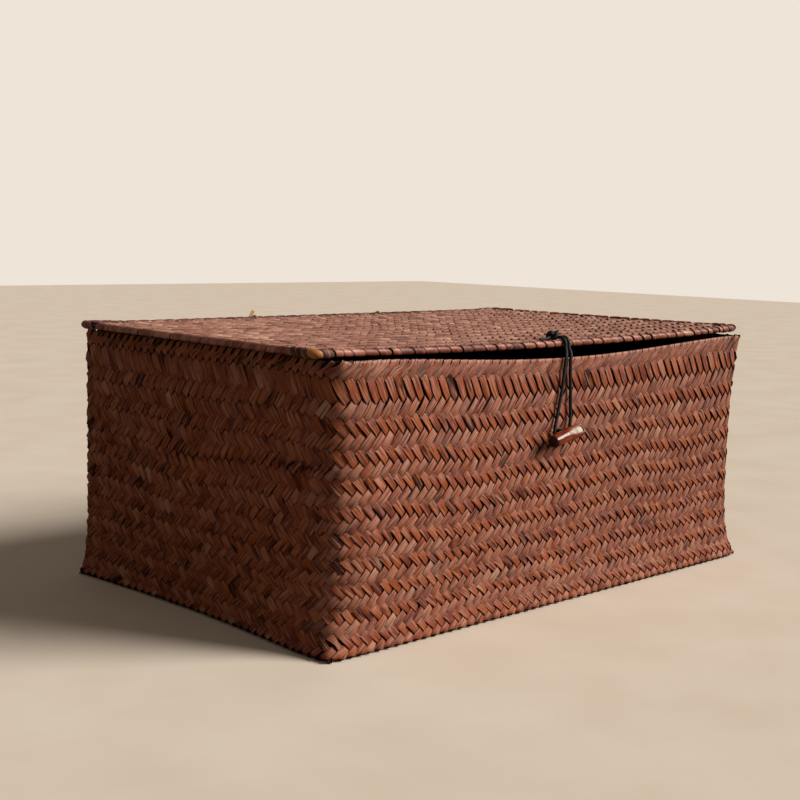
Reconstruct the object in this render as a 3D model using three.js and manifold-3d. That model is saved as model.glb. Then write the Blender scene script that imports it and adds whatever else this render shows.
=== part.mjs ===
// Plaited rush box with a hinged lid, closed by a cord loop and a wooden toggle.
// Millimetres, +Z up. The front wall faces -Y, and the origin is the middle of the base, on the ground.

import * as THREE from 'three';
import { mergeVertices } from 'three/addons/utils/BufferGeometryUtils.js';
import Module from 'manifold-3d';

const wasm = await Module();
wasm.setup();

// General clearances
const clearance = 0.3;
const cutOverrun = 2;

// Basket body: four walls and a base in one plait
const bodyWidth = 380;
const bodyDepth = 243.6;
const bodyHeight = 157.8;
const wallThickness = 3;
const cornerRadius = 16;
const baseEdgeRadius = 4;
const rimChamfer = 0.9;
const frontRimSag = 6;
const frontRimLean = 4;
const leanPower = 1.5;
const wallBow = 1;

// How square each corner is drawn, as shares of the way from round to sharp
const squarePower = 12;
const middleSquareShares = { frontLeft: 0.15, frontRight: 0.02, backRight: 0.3, backLeft: 0.75 };
const toeSquareShares = { frontLeft: 1.35, frontRight: 2, backRight: 1.5, backLeft: 1.6 };
const toeFadeShare = 0.1;
const rimSquareShare = 1.2;
const rimFadeShare = 0.14;

// Strip ends turned down inside the rim
const turnoverThickness = 1.5;
const turnoverDepth = 15;
const turnoverDrop = 0.8;

// Lid frame: one cane bent round, with its edge binding
const caneDiameter = 3.5;
const bindingRoom = 0.45;
const bindingThickness = 0.6;
const bindingPitch = 13.2;
const bindingMostTurns = 24;
const bindingAxialGap = 0.8;
const caneBend = 8;
const cornerWrapThickness = 0.85;
const cornerWrapRun = 9;

// Where the lid's outer edges lie, past the body's walls or short of them
const lidFrontSetback = 7.3;
const lidBackSetback = 4.3;
const lidFrontLeftOverhang = 9.5;
const lidBackLeftOverhang = 3.5;
const lidFrontRightOverhang = 7.5;
const lidBackRightOverhang = 3.5;
const lidPanelThickness = 2.6;
const lidFrontSag = 2.4;

// Hinge ties of pale straw, through the back wall and round the cane
const tieDiameter = 1.8;
const tieFromMiddle = 59.3;
const tieHoleDrop = 8;
const tieHoleRoom = 0.65;
const tieKnotDiameter = 4.4;
const tieTailLength = 7.6;
const tieTailDiameter = 1.6;

// Closing cord, its knot on the lid and the stitch that holds the knot down
const cordDiameter = 1.6;
const loopKnotWidth = 7.4;
const loopKnotHeight = 5.6;
const loopKnotPlaceX = -0.5;
const loopKnotBehindEdge = 9.6;
const stitchKnotDiameter = 4.2;

// Toggle and the tie that carries it
const toggleLength = 28;
const toggleDiameter = 8;
const toggleEndRound = 2;
const toggleTiltDegrees = 14;
const togglePlaceX = -7.8;
const toggleHeight = 106.9;
const toggleStandOff = 4;
const toggleFaceDepth = 1.9;
const toggleFaceStart = 1.5;
const toggleTieRoom = 0.35;
const toggleTiePastMiddle = 1;
const stopKnotWidth = 5.6;
const stopKnotThickness = 4;

// Facets
const roundSides = 8;
const turnSteps = 8;
const cornerSteps = 6;
const bendSteps = 4;
const caneRunSteps = 10;
const panelStepsAcross = 12;
const panelStepsDeep = 5;

// Sizes that follow
const quarterTurn = Math.PI / 2;
const halfWidth = bodyWidth / 2;
const halfDepth = bodyDepth / 2;
const caneRadius = caneDiameter / 2;
const bindingInner = caneRadius + bindingRoom;
const bindingOuter = bindingInner + bindingThickness;
const cornerWrapOuter = bindingInner + cornerWrapThickness;
const cordRadius = cordDiameter / 2;
const tieRadius = tieDiameter / 2;
const toggleRadius = toggleDiameter / 2;
const caneHeight = bodyHeight + clearance + cornerWrapOuter;
const panelInset = 2 * bindingOuter + clearance;
const panelTop = caneHeight + lidPanelThickness / 2;
const hingeLineY = halfDepth - lidBackSetback - bindingOuter;

// Turns a closed geometry into a solid that can be cut and joined
function toSolid(geometry) {
  const bare = geometry.clone();
  bare.deleteAttribute('normal');
  bare.deleteAttribute('uv');
  const merged = mergeVertices(bare);
  return new wasm.Manifold(new wasm.Mesh({
    numProp: 3,
    vertProperties: new Float32Array(merged.attributes.position.array),
    triVerts: new Uint32Array(merged.index.array),
  }));
}

// Turns a cut or joined solid back into a geometry
function toGeometry(solid) {
  const mesh = solid.getMesh();
  const geometry = new THREE.BufferGeometry();
  geometry.setAttribute('position', new THREE.BufferAttribute(new Float32Array(mesh.vertProperties), 3));
  geometry.setIndex(new THREE.BufferAttribute(new Uint32Array(mesh.triVerts), 1));
  return geometry;
}

// Cuts each tool geometry out of the first one
function cutBy(geometry, tools) {
  return toGeometry(tools.reduce((solid, tool) => solid.subtract(toSolid(tool)), toSolid(geometry)));
}

// Joins overlapping geometries into one
function joined(geometries) {
  const [first, ...rest] = geometries.map(toSolid);
  return toGeometry(rest.reduce((solid, other) => solid.add(other), first));
}

// Six times the volume that a closed triangle mesh holds, positive when its faces point out
function signedVolume(positions, triangles) {
  const [a, b, c] = [new THREE.Vector3(), new THREE.Vector3(), new THREE.Vector3()];
  let volume = 0;
  for (let i = 0; i < triangles.length; i += 3) {
    a.fromArray(positions, 3 * triangles[i]);
    b.fromArray(positions, 3 * triangles[i + 1]);
    c.fromArray(positions, 3 * triangles[i + 2]);
    volume += a.dot(b.cross(c));
  }
  return volume;
}

// A closed skin through rings of equally many points. Its two ends are capped from their middles,
// or, where the rings meet, the last one joins the first.
function skin(rings, { ringsMeet = false } = {}) {
  const count = rings[0].length;
  const positions = rings.flat().flatMap((point) => [point.x, point.y, point.z]);
  const triangles = [];
  const bands = ringsMeet ? rings.length : rings.length - 1;
  for (let ring = 0; ring < bands; ring += 1) {
    const here = ring * count;
    const next = ((ring + 1) % rings.length) * count;
    for (let i = 0; i < count; i += 1) {
      const j = (i + 1) % count;
      triangles.push(here + i, here + j, next + j, here + i, next + j, next + i);
    }
  }
  if (!ringsMeet) {
    for (const [ring, flipped] of [[0, true], [rings.length - 1, false]]) {
      const middle = new THREE.Vector3();
      rings[ring].forEach((point) => middle.addScaledVector(point, 1 / count));
      const centre = positions.length / 3;
      positions.push(middle.x, middle.y, middle.z);
      for (let i = 0; i < count; i += 1) {
        const a = ring * count + i;
        const b = ring * count + (i + 1) % count;
        triangles.push(centre, flipped ? b : a, flipped ? a : b);
      }
    }
  }
  if (signedVolume(positions, triangles) < 0) {
    triangles.reverse();
  }
  const geometry = new THREE.BufferGeometry();
  geometry.setAttribute('position', new THREE.Float32BufferAttribute(positions, 3));
  geometry.setIndex(triangles);
  return geometry;
}

// A path whose steps fall on its own points, so that bends get more of them than straight runs
class StationPath extends THREE.Curve {
  constructor(points) {
    super();
    this.points = points;
  }

  getPoint(t, target = new THREE.Vector3()) {
    const last = this.points.length - 1;
    const place = THREE.MathUtils.clamp(t, 0, 1) * last;
    const index = Math.min(Math.floor(place), last - 1);
    return target.lerpVectors(this.points[index], this.points[index + 1], place - index);
  }

  getPointAt(u, target) {
    return this.getPoint(u, target);
  }

  getTangentAt(u, target) {
    return this.getTangent(u, target);
  }
}

// A round rod, cord or sleeve along a path
function tube(path, steps, radius, boreRadius = 0) {
  const section = new THREE.Shape(ringPoints(radius));
  if (boreRadius > 0) {
    section.holes.push(new THREE.Path(ringPoints(boreRadius)));
  }
  return new THREE.ExtrudeGeometry(section, { steps, extrudePath: path, bevelEnabled: false });
}

function ringPoints(radius) {
  const points = [];
  for (let side = 0; side < roundSides; side += 1) {
    const angle = (side + 0.5) * 2 * Math.PI / roundSides;
    points.push(new THREE.Vector2(radius * Math.cos(angle), radius * Math.sin(angle)));
  }
  return points;
}

function stationTube(points, radius, boreRadius) {
  return tube(new StationPath(points), points.length - 1, radius, boreRadius);
}

function curveTube(points, steps, radius) {
  return tube(new THREE.CatmullRomCurve3(points), steps, radius);
}

// A flattened ball for a knot
function knotBall(width, height, x, y, z) {
  const ball = new THREE.SphereGeometry(width / 2, roundSides + 2, roundSides - 1);
  ball.rotateX(quarterTurn);
  ball.scale(1, 1, height / width);
  ball.translate(x, y, z);
  return ball;
}

// A cylinder along Y for a hole through a wall
function drillY(radius, length, x, y, z) {
  const drill = new THREE.CylinderGeometry(radius, radius, length, roundSides);
  drill.translate(x, y, z);
  return drill;
}

// The body's corners in order round it, seen from above
const bodyCorners = [
  { name: 'frontLeft', sideX: -1, sideY: -1, startAngle: Math.PI },
  { name: 'frontRight', sideX: 1, sideY: -1, startAngle: 3 * quarterTurn },
  { name: 'backRight', sideX: 1, sideY: 1, startAngle: 0 },
  { name: 'backLeft', sideX: -1, sideY: 1, startAngle: quarterTurn },
];
const wallStations = { frontLeft: 10, frontRight: 6, backRight: 8, backLeft: 6 };

// How far the rim sags at a share of the front wall's length
function rimSagAt(share) {
  return frontRimSag * (1 - Math.abs(2 * share - 1) ** 3);
}

// How square a corner is drawn at a share of the height: pointed toe, sharper rim
function squareness(corner, heightShare) {
  const toe = toeSquareShares[corner.name] * Math.exp(-heightShare / toeFadeShare);
  const rim = rimSquareShare * Math.exp(-(1 - heightShare) / rimFadeShare);
  return Math.max(middleSquareShares[corner.name], toe, rim);
}

// A point on a corner, inside the outer face by an inset
function cornerPoint(corner, turnShare, heightShare, inset) {
  const angle = corner.startAngle + turnShare * quarterTurn;
  const across = Math.abs(Math.cos(angle));
  const along = Math.abs(Math.sin(angle));
  const sharp = (across ** squarePower + along ** squarePower) ** (-1 / squarePower);
  const reach = (cornerRadius - inset) * (1 + squareness(corner, heightShare) * (sharp - 1));
  return new THREE.Vector3(
    corner.sideX * (halfWidth - cornerRadius) + reach * Math.cos(angle),
    corner.sideY * (halfDepth - cornerRadius) + reach * Math.sin(angle),
    0,
  );
}

// How far a wall stands out past its corners' line: the front wall leans in towards its rim
function wallStandsOut(corner, share, heightShare) {
  const along = Math.sin(Math.PI * share);
  if (corner.name === 'frontLeft') {
    return -frontRimLean * along * heightShare ** leanPower;
  }
  return wallBow * along * Math.sin(Math.PI * heightShare);
}

// One level of the body: a ring of points at a share of the rim's height, plus a rise
function bodyRing(heightShare, inset, rise = 0) {
  const ring = [];
  bodyCorners.forEach((corner, index) => {
    const nextCorner = bodyCorners[(index + 1) % bodyCorners.length];
    for (let step = 0; step <= cornerSteps; step += 1) {
      const point = cornerPoint(corner, step / cornerSteps, heightShare, inset);
      point.z = heightShare * bodyHeight + rise;
      ring.push(point);
    }
    const from = cornerPoint(corner, 1, heightShare, inset);
    const to = cornerPoint(nextCorner, 0, heightShare, inset);
    const outward = new THREE.Vector3(to.y - from.y, from.x - to.x, 0).normalize();
    const count = wallStations[corner.name];
    for (let station = 1; station < count; station += 1) {
      const share = station / count;
      const sag = corner.name === 'frontLeft' ? rimSagAt(share) : 0;
      const point = new THREE.Vector3().lerpVectors(from, to, share)
        .addScaledVector(outward, wallStandsOut(corner, share, heightShare));
      point.z = heightShare * (bodyHeight - sag) + rise;
      ring.push(point);
    }
  });
  return ring;
}

// The front wall's outer face where the toggle's tie goes through it
const toggleAlongShare = (halfWidth + togglePlaceX) / bodyWidth;
const toggleHeightShare = toggleHeight / (bodyHeight - rimSagAt(toggleAlongShare));
const frontFaceAtToggle = -halfDepth - wallStandsOut(bodyCorners[0], toggleAlongShare, toggleHeightShare);

// Body shell: outer face up from the ground, over the rim, down the inner face to the floor
function basketShell() {
  const rings = [];
  for (let step = 0; step <= bendSteps; step += 1) {
    const angle = step / bendSteps * quarterTurn;
    rings.push(bodyRing(0, baseEdgeRadius * (1 - Math.sin(angle)), baseEdgeRadius * (1 - Math.cos(angle))));
  }
  const levelShares = [0.08, 0.16, 0.3, 0.5, 0.7, 0.86, 0.94];
  levelShares.forEach((share) => rings.push(bodyRing(share, 0)));
  rings.push(bodyRing(1, 0, -rimChamfer));
  rings.push(bodyRing(1, rimChamfer));
  rings.push(bodyRing(1, wallThickness - rimChamfer));
  rings.push(bodyRing(1, wallThickness, -rimChamfer));
  levelShares.toReversed().forEach((share) => rings.push(bodyRing(share, wallThickness)));
  rings.push(bodyRing(0, wallThickness, wallThickness));
  const holes = [drillY(cordRadius + clearance, 2 * wallThickness + cutOverrun,
    togglePlaceX, frontFaceAtToggle, toggleHeight)];
  return cutBy(skin(rings), [...holes, ...tieHoles()]);
}

// Strip ends turned down inside the rim: a thin band against the inner face
function rimTurnover() {
  const outerInset = wallThickness + clearance;
  const innerInset = outerInset + turnoverThickness;
  const middleShare = 1 - turnoverDepth / 2 / bodyHeight;
  const bottomShare = 1 - turnoverDepth / bodyHeight;
  const rings = [
    bodyRing(1, outerInset, -turnoverDrop),
    bodyRing(middleShare, outerInset),
    bodyRing(bottomShare, outerInset),
    bodyRing(bottomShare, innerInset),
    bodyRing(middleShare, innerInset),
    bodyRing(1, innerInset, -turnoverDrop),
  ];
  return cutBy(skin(rings, { ringsMeet: true }), tieHoles());
}

// Holes through the back wall for the two hinge ties
function tieHoles() {
  const length = 2 * (wallThickness + turnoverThickness) + cutOverrun;
  return [-1, 1].map((side) => drillY(tieRadius + tieHoleRoom, length,
    side * tieFromMiddle, halfDepth - wallThickness, bodyHeight - tieHoleDrop));
}

// The lid's outer corners, in the body corners' order
const lidCorners = [
  new THREE.Vector2(-halfWidth - lidFrontLeftOverhang, -halfDepth + lidFrontSetback),
  new THREE.Vector2(halfWidth + lidFrontRightOverhang, -halfDepth + lidFrontSetback),
  new THREE.Vector2(halfWidth + lidBackRightOverhang, halfDepth - lidBackSetback),
  new THREE.Vector2(-halfWidth - lidBackLeftOverhang, halfDepth - lidBackSetback),
];

// Corners moved in by one inset from all four edges
function insetCorners(corners, inset) {
  return corners.map((corner, index) => {
    const before = corners[(index + corners.length - 1) % corners.length];
    const after = corners[(index + 1) % corners.length];
    const into = corner.clone().sub(before).normalize();
    const out = after.clone().sub(corner).normalize();
    const turn = into.cross(out);
    const reach = inset / turn;
    return corner.clone().addScaledVector(out, reach).addScaledVector(into, -reach);
  });
}

// Points of one rounded corner, from the straight before it to the straight after it
function bendPoints(corners, index, radius, steps) {
  const corner = corners[index];
  const before = corners[(index + corners.length - 1) % corners.length];
  const after = corners[(index + 1) % corners.length];
  const into = corner.clone().sub(before).normalize();
  const out = after.clone().sub(corner).normalize();
  const turn = Math.acos(THREE.MathUtils.clamp(into.dot(out), -1, 1));
  const inward = new THREE.Vector2(-into.y, into.x);
  const start = corner.clone().addScaledVector(into, -radius * Math.tan(turn / 2));
  const centre = start.clone().addScaledVector(inward, radius);
  const points = [];
  for (let step = 0; step <= steps; step += 1) {
    const angle = turn * step / steps;
    points.push(centre.clone()
      .addScaledVector(inward, -radius * Math.cos(angle))
      .addScaledVector(into, radius * Math.sin(angle)));
  }
  return points;
}

const caneCorners = insetCorners(lidCorners, bindingOuter);
const caneBends = caneCorners.map((corner, index) => bendPoints(caneCorners, index, caneBend, bendSteps));

function atCaneHeight(point) {
  return new THREE.Vector3(point.x, point.y, caneHeight);
}

// The lid hangs down a little between the side walls, most at the middle of its front edge
function lidSagAt(x, y) {
  const across = x / (halfWidth - wallThickness);
  const frontEdge = lidCorners[0].y;
  const forward = (hingeLineY - y) / (hingeLineY - frontEdge);
  return lidFrontSag * Math.max(0, 1 - across ** 2) * THREE.MathUtils.clamp(forward, 0, 1);
}

function sagged(geometry) {
  const places = geometry.attributes.position;
  for (let i = 0; i < places.count; i += 1) {
    places.setZ(i, places.getZ(i) - lidSagAt(places.getX(i), places.getY(i)));
  }
  return geometry;
}

// The bent cane, whose ends meet in the middle of the back edge
function lidCane() {
  const points = [];
  const endGap = clearance / 2;
  points.push(new THREE.Vector3(-endGap, hingeLineY, caneHeight));
  [3, 0, 1, 2].forEach((index) => {
    const bend = caneBends[index].map(atCaneHeight);
    const from = points[points.length - 1];
    for (let step = 1; step < caneRunSteps; step += 1) {
      points.push(from.clone().lerp(bend[0], step / caneRunSteps));
    }
    points.push(...bend);
  });
  points.push(new THREE.Vector3(endGap, hingeLineY, caneHeight));
  return sagged(stationTube(points, caneRadius));
}

// A wrap over a corner: a sleeve round the bend with a short straight run at each end
function cornerWrap(index) {
  const bend = caneBends[index];
  const first = bend[0];
  const last = bend[bend.length - 1];
  const before = caneCorners[index].clone().sub(first).normalize();
  const after = last.clone().sub(caneCorners[index]).normalize();
  const points = [
    first.clone().addScaledVector(before, -cornerWrapRun),
    ...bend,
    last.clone().addScaledVector(after, cornerWrapRun),
  ];
  return sagged(stationTube(points.map(atCaneHeight), cornerWrapOuter, bindingInner));
}

// One side's binding: a flat strip wound round the cane, its turns nearly edge to edge
function edgeBinding(index) {
  const next = (index + 1) % caneBends.length;
  const start = atCaneHeight(caneBends[index][bendSteps]);
  const end = atCaneHeight(caneBends[next][0]);
  const along = end.clone().sub(start).normalize();
  const margin = cornerWrapRun + clearance;
  start.addScaledVector(along, margin);
  end.addScaledVector(along, -margin);
  const run = start.distanceTo(end);
  const turns = Math.min(bindingMostTurns, Math.round(run / bindingPitch) - 1);
  const pitch = (run + bindingAxialGap) / (turns + 1);
  const stripRun = pitch - bindingAxialGap;
  const up = new THREE.Vector3(0, 0, 1);
  const side = new THREE.Vector3().crossVectors(along, up);
  const edgePoint = (step, place, radius) => {
    const angle = 2 * Math.PI * step / turnSteps;
    return start.clone()
      .addScaledVector(along, pitch * step / turnSteps + place)
      .addScaledVector(up, radius * Math.cos(angle))
      .addScaledVector(side, radius * Math.sin(angle));
  };
  const rings = [];
  for (let step = 0; step <= turns * turnSteps; step += 1) {
    rings.push([
      edgePoint(step, 0, bindingInner),
      edgePoint(step, stripRun, bindingInner),
      edgePoint(step, stripRun, bindingOuter),
      edgePoint(step, 0, bindingOuter),
    ]);
  }
  return { geometry: sagged(skin(rings)), turns, gap: leastTurnGap(rings) };
}

// The least gap between one turn's leading edge and the next turn's trailing edge
function leastTurnGap(rings) {
  let least = Infinity;
  for (let step = 0; step + turnSteps < rings.length; step += 1) {
    for (let other = step + 1; other < step + 2 * turnSteps && other + 1 < rings.length; other += 1) {
      for (const [leading, trailing] of [[1, 0], [2, 3]]) {
        const edge = new THREE.Line3(rings[other][trailing], rings[other + 1][trailing]);
        const near = edge.closestPointToPoint(rings[step][leading], true, new THREE.Vector3());
        least = Math.min(least, near.distanceTo(rings[step][leading]));
      }
    }
  }
  return least;
}

// The place of the knot on the lid
const loopKnotY = lidCorners[0].y + loopKnotBehindEdge;
const panelTopAtKnot = panelTop - lidSagAt(loopKnotPlaceX, loopKnotY);
const loopKnotZ = panelTopAtKnot + clearance + loopKnotHeight / 2;
const stitchKnotZ = panelTopAtKnot - lidPanelThickness - 2 * clearance - stitchKnotDiameter / 2;

// Plaited panel inside the cane, with notches for the hinge ties and a hole for the stitch
function lidPanel() {
  const corners = insetCorners(lidCorners, panelInset);
  const bend = Math.max(caneBend - bindingOuter, bindingOuter);
  const outline = corners.flatMap((corner, index) => bendPoints(corners, index, bend, bendSteps));
  const edgeDepth = lidFrontSag + 2 * lidPanelThickness;
  const trimmer = new THREE.ExtrudeGeometry(new THREE.Shape(outline), {
    depth: 2 * edgeDepth,
    bevelEnabled: false,
  });
  trimmer.translate(0, 0, panelTop - edgeDepth);
  const sheet = new THREE.BoxGeometry(bodyWidth + 2 * lidFrontLeftOverhang, bodyDepth, lidPanelThickness,
    panelStepsAcross, panelStepsDeep, 1);
  sheet.translate(0, 0, panelTop - lidPanelThickness / 2);
  const slab = toGeometry(toSolid(sagged(sheet)).intersect(toSolid(trimmer)));
  const tieRun = bindingOuter + 2 * clearance + tieDiameter + clearance;
  const notchHeight = lidPanelThickness + cutOverrun;
  const notches = [-1, 1].map((side) => {
    const notch = new THREE.BoxGeometry(tieDiameter + 3 * clearance, 2 * tieRun, notchHeight);
    notch.translate(side * tieFromMiddle, hingeLineY, panelTop - lidPanelThickness / 2);
    return notch;
  });
  const hole = drillY(cordRadius + clearance, lidPanelThickness + cutOverrun, 0, 0, 0);
  hole.rotateX(quarterTurn);
  hole.translate(loopKnotPlaceX, loopKnotY, panelTopAtKnot - lidPanelThickness / 2);
  return cutBy(slab, [...notches, hole]);
}

// A hinge tie: from its knot behind the wall, in through the wall, up round the cane and back
const tieKnotY = halfDepth + clearance + tieRadius + clearance;
const tieKnotZ = bodyHeight + clearance + tieRadius;
const tieRingRadius = bindingOuter + clearance + tieRadius;

function hingeTie(side) {
  const holeZ = bodyHeight - tieHoleDrop;
  const innerY = halfDepth - wallThickness - turnoverThickness - 2 * clearance - tieRadius;
  const knotRadius = tieKnotDiameter / 2;
  const point = (y, z) => new THREE.Vector3(side * tieFromMiddle, y, z);
  const ringPoint = (degrees) => {
    const angle = THREE.MathUtils.degToRad(degrees);
    return point(hingeLineY + tieRingRadius * Math.cos(angle), caneHeight + tieRingRadius * Math.sin(angle));
  };
  return curveTube([
    point(tieKnotY + clearance, tieKnotZ - knotRadius - clearance),
    point(tieKnotY + clearance, holeZ + tieDiameter),
    point(halfDepth - wallThickness / 2, holeZ),
    point(innerY, holeZ + tieRadius),
    point((innerY + hingeLineY - tieRingRadius) / 2, (holeZ + caneHeight) / 2),
    ringPoint(180),
    ringPoint(135),
    ringPoint(90),
    ringPoint(50),
    point(tieKnotY - knotRadius - clearance, tieKnotZ + tieRadius),
  ], 30, tieRadius);
}

// The knot of a hinge tie with its cut end standing up
function hingeKnot(side) {
  const x = side * tieFromMiddle;
  const tail = curveTube([
    new THREE.Vector3(x, tieKnotY, tieKnotZ),
    new THREE.Vector3(x - tieTailDiameter / 4, tieKnotY, tieKnotZ + tieTailLength / 2),
    new THREE.Vector3(x + tieTailDiameter / 4, tieKnotY + clearance, tieKnotZ + tieTailLength),
  ], 4, tieTailDiameter / 2);
  return joined([knotBall(tieKnotDiameter, tieKnotDiameter, x, tieKnotY, tieKnotZ), tail]);
}

// The hanging part of the closing cord, from over the lid's edge, round behind the toggle and back
const loopRoute = [
  [1.7, -115.6, 158.4], [1.3, -116.2, 156.4], [0.3, -117.6, 154.4], [-1.2, -118.9, 152.2],
  [-2.2, -119.3, 149.4], [-3.0, -119.5, 145.0], [-4.6, -119.8, 137.5], [-6.6, -120.1, 130.0],
  [-9.0, -120.4, 122.0], [-11.6, -120.8, 114.0], [-13.5, -121.3, 108.4], [-13.9, -121.4, 105.9],
  [-12.9, -121.4, 103.8], [-10.5, -121.4, 102.9], [-7.6, -121.4, 103.2], [-4.6, -121.4, 103.9],
  [-1.6, -121.4, 105.2], [0.3, -121.4, 107.5], [0.9, -121.3, 110.6], [1.7, -120.8, 115.6],
  [2.2, -120.4, 122.0], [2.5, -120.1, 130.0], [2.7, -119.8, 137.5], [3.0, -119.5, 145.0],
  [3.4, -119.3, 149.4], [4.2, -118.9, 152.2], [5.0, -117.6, 154.4], [5.5, -116.2, 156.4],
  [5.7, -115.6, 158.4],
];

// The same cord on the lid: two strands from the knot over the bound edge
const rootRoutes = {
  left: [[3.3, -107.8, 162.4], [2.6, -109.6, 162.6], [2.1, -111.6, 162.8], [1.9, -113.3, 162.4],
    [1.8, -114.7, 161.3], [1.7, -115.5, 159.9], [1.7, -115.7, 158.9]],
  right: [[3.7, -106.0, 162.3], [5.2, -107.8, 162.4], [5.8, -110.2, 162.6], [5.8, -112.0, 162.8],
    [5.8, -113.6, 162.3], [5.7, -114.9, 161.1], [5.7, -115.6, 159.8], [5.7, -115.7, 158.9]],
};

// The cut end of the cord, lying to the left of the knot
const tailRoute = [
  [-4.7, -106.3, 161.9], [-7.4, -106.2, 161.4], [-10.4, -106.4, 161.4], [-13.8, -106.8, 161.7],
];

function routePoints(route) {
  return route.map((place) => new THREE.Vector3(...place));
}

// The stitch that holds the knot down: a strand through the panel to a small knot below
function loopStitch() {
  const top = loopKnotZ - loopKnotHeight / 2 - clearance;
  const bottom = panelTopAtKnot - lidPanelThickness - clearance;
  return stationTube([
    new THREE.Vector3(loopKnotPlaceX, loopKnotY, top),
    new THREE.Vector3(loopKnotPlaceX, loopKnotY, bottom),
  ], cordRadius);
}

// The tie that carries the toggle, from its stop knot inside the front wall
const toggleCentreY = frontFaceAtToggle - toggleStandOff - toggleRadius;
const stopKnotY = frontFaceAtToggle + wallThickness + clearance + stopKnotThickness / 2;

function toggleTie() {
  return stationTube([
    new THREE.Vector3(togglePlaceX, stopKnotY - stopKnotThickness / 2 - clearance, toggleHeight),
    new THREE.Vector3(togglePlaceX, toggleCentreY - toggleTiePastMiddle, toggleHeight),
  ], cordRadius);
}

function stopKnot() {
  const ball = knotBall(stopKnotWidth, stopKnotWidth, 0, 0, 0);
  ball.scale(1, stopKnotThickness / stopKnotWidth, 1);
  ball.translate(togglePlaceX, stopKnotY, toggleHeight);
  return ball;
}

// The toggle lies along its own X with its middle at the origin: a turned peg with a slanting cut
// face at the front right, bored from behind for its tie
function toggleGeometry() {
  const half = toggleLength / 2;
  const profile = [new THREE.Vector2(0, -half)];
  for (const end of [-1, 1]) {
    for (let step = 0; step <= bendSteps; step += 1) {
      const angle = (end < 0 ? step : bendSteps - step) / bendSteps * quarterTurn;
      profile.push(new THREE.Vector2(
        toggleRadius - toggleEndRound + toggleEndRound * Math.sin(angle),
        end * (half - toggleEndRound + toggleEndRound * Math.cos(angle)),
      ));
    }
  }
  profile.push(new THREE.Vector2(0, half));
  const peg = new THREE.LatheGeometry(profile, 2 * roundSides);
  peg.rotateZ(-quarterTurn);
  const cutLength = half - toggleFaceStart;
  const slant = Math.atan2(toggleFaceDepth, cutLength);
  const cutter = new THREE.BoxGeometry(2 * toggleLength, toggleDiameter, 2 * toggleDiameter);
  cutter.translate(toggleLength, -toggleRadius, 0);
  cutter.rotateZ(slant);
  cutter.translate(-toggleFaceStart, -toggleRadius + toggleFaceStart * Math.sin(slant), 0);
  const boreDepth = toggleRadius + toggleTiePastMiddle + clearance;
  const bore = drillY(cordRadius + toggleTieRoom, boreDepth + cutOverrun,
    0, toggleRadius + (cutOverrun - boreDepth) / 2, 0);
  return cutBy(peg, [cutter, bore]);
}

// Materials
const rush = new THREE.MeshStandardMaterial({ color: 0x7d4630, roughness: 0.75, metalness: 0 });
const rushRim = new THREE.MeshStandardMaterial({ color: 0x87503a, roughness: 0.7, metalness: 0 });
const lidRush = new THREE.MeshStandardMaterial({ color: 0x8a5848, roughness: 0.7, metalness: 0 });
const bindingStrip = new THREE.MeshStandardMaterial({ color: 0x95503c, roughness: 0.5, metalness: 0 });
const ochreStrip = new THREE.MeshStandardMaterial({ color: 0xa5642a, roughness: 0.55, metalness: 0 });
const cane = new THREE.MeshStandardMaterial({ color: 0xb08a58, roughness: 0.6, metalness: 0 });
const straw = new THREE.MeshStandardMaterial({ color: 0xd8a24a, roughness: 0.6, metalness: 0 });
const blackCord = new THREE.MeshStandardMaterial({ color: 0x14161a, roughness: 0.55, metalness: 0 });
const darkWood = new THREE.MeshStandardMaterial({ color: 0x6a2e1c, roughness: 0.25, metalness: 0 });

const box = new THREE.Group();

function addPiece(name, geometry, material) {
  const mesh = new THREE.Mesh(geometry, material.clone());
  mesh.name = name;
  box.add(mesh);
  return mesh;
}

addPiece('basket_shell', basketShell(), rush);
addPiece('rim_turnover', rimTurnover(), rushRim);

for (const [name, side] of [['left', -1], ['right', 1]]) {
  addPiece(`hinge_tie_${name}`, hingeTie(side), straw);
  addPiece(`hinge_knot_${name}`, hingeKnot(side), straw);
}

addPiece('toggle_tie', toggleTie(), blackCord);
addPiece('toggle_stop_knot', stopKnot(), blackCord);

addPiece('lid_panel', lidPanel(), lidRush);
addPiece('lid_cane', lidCane(), cane);

['front', 'right', 'back', 'left'].forEach((name, index) => {
  const binding = edgeBinding(index);
  addPiece(`lid_binding_${name}`, binding.geometry, bindingStrip);
  console.log(`lid_binding_${name}: ${binding.turns} turns, least gap ${binding.gap.toFixed(2)} mm`);
});

['front_left', 'front_right', 'back_right', 'back_left'].forEach((name, index) => {
  addPiece(`corner_wrap_${name}`, cornerWrap(index), index === 0 ? ochreStrip : bindingStrip);
});

const loopKnot = knotBall(loopKnotWidth, loopKnotHeight, loopKnotPlaceX, loopKnotY, loopKnotZ);
const stitchKnot = knotBall(stitchKnotDiameter, stitchKnotDiameter, loopKnotPlaceX, loopKnotY, stitchKnotZ);
addPiece('loop_knot', loopKnot, blackCord);
addPiece('loop_stitch', loopStitch(), blackCord);
addPiece('loop_stitch_knot', stitchKnot, blackCord);
addPiece('loop_tail', curveTube(routePoints(tailRoute), 6, cordRadius), blackCord);
addPiece('loop_root_left', curveTube(routePoints(rootRoutes.left), 10, cordRadius), blackCord);
addPiece('loop_root_right', curveTube(routePoints(rootRoutes.right), 12, cordRadius), blackCord);
addPiece('cord_loop', curveTube(routePoints(loopRoute), 60, cordRadius), blackCord);

const toggle = addPiece('toggle', toggleGeometry(), darkWood);
toggle.position.set(togglePlaceX, toggleCentreY, toggleHeight);
toggle.rotation.y = -THREE.MathUtils.degToRad(toggleTiltDegrees);

export default box;
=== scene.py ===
import math

import bmesh
import bpy
import numpy as np
from mathutils import Matrix, Vector


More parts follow.
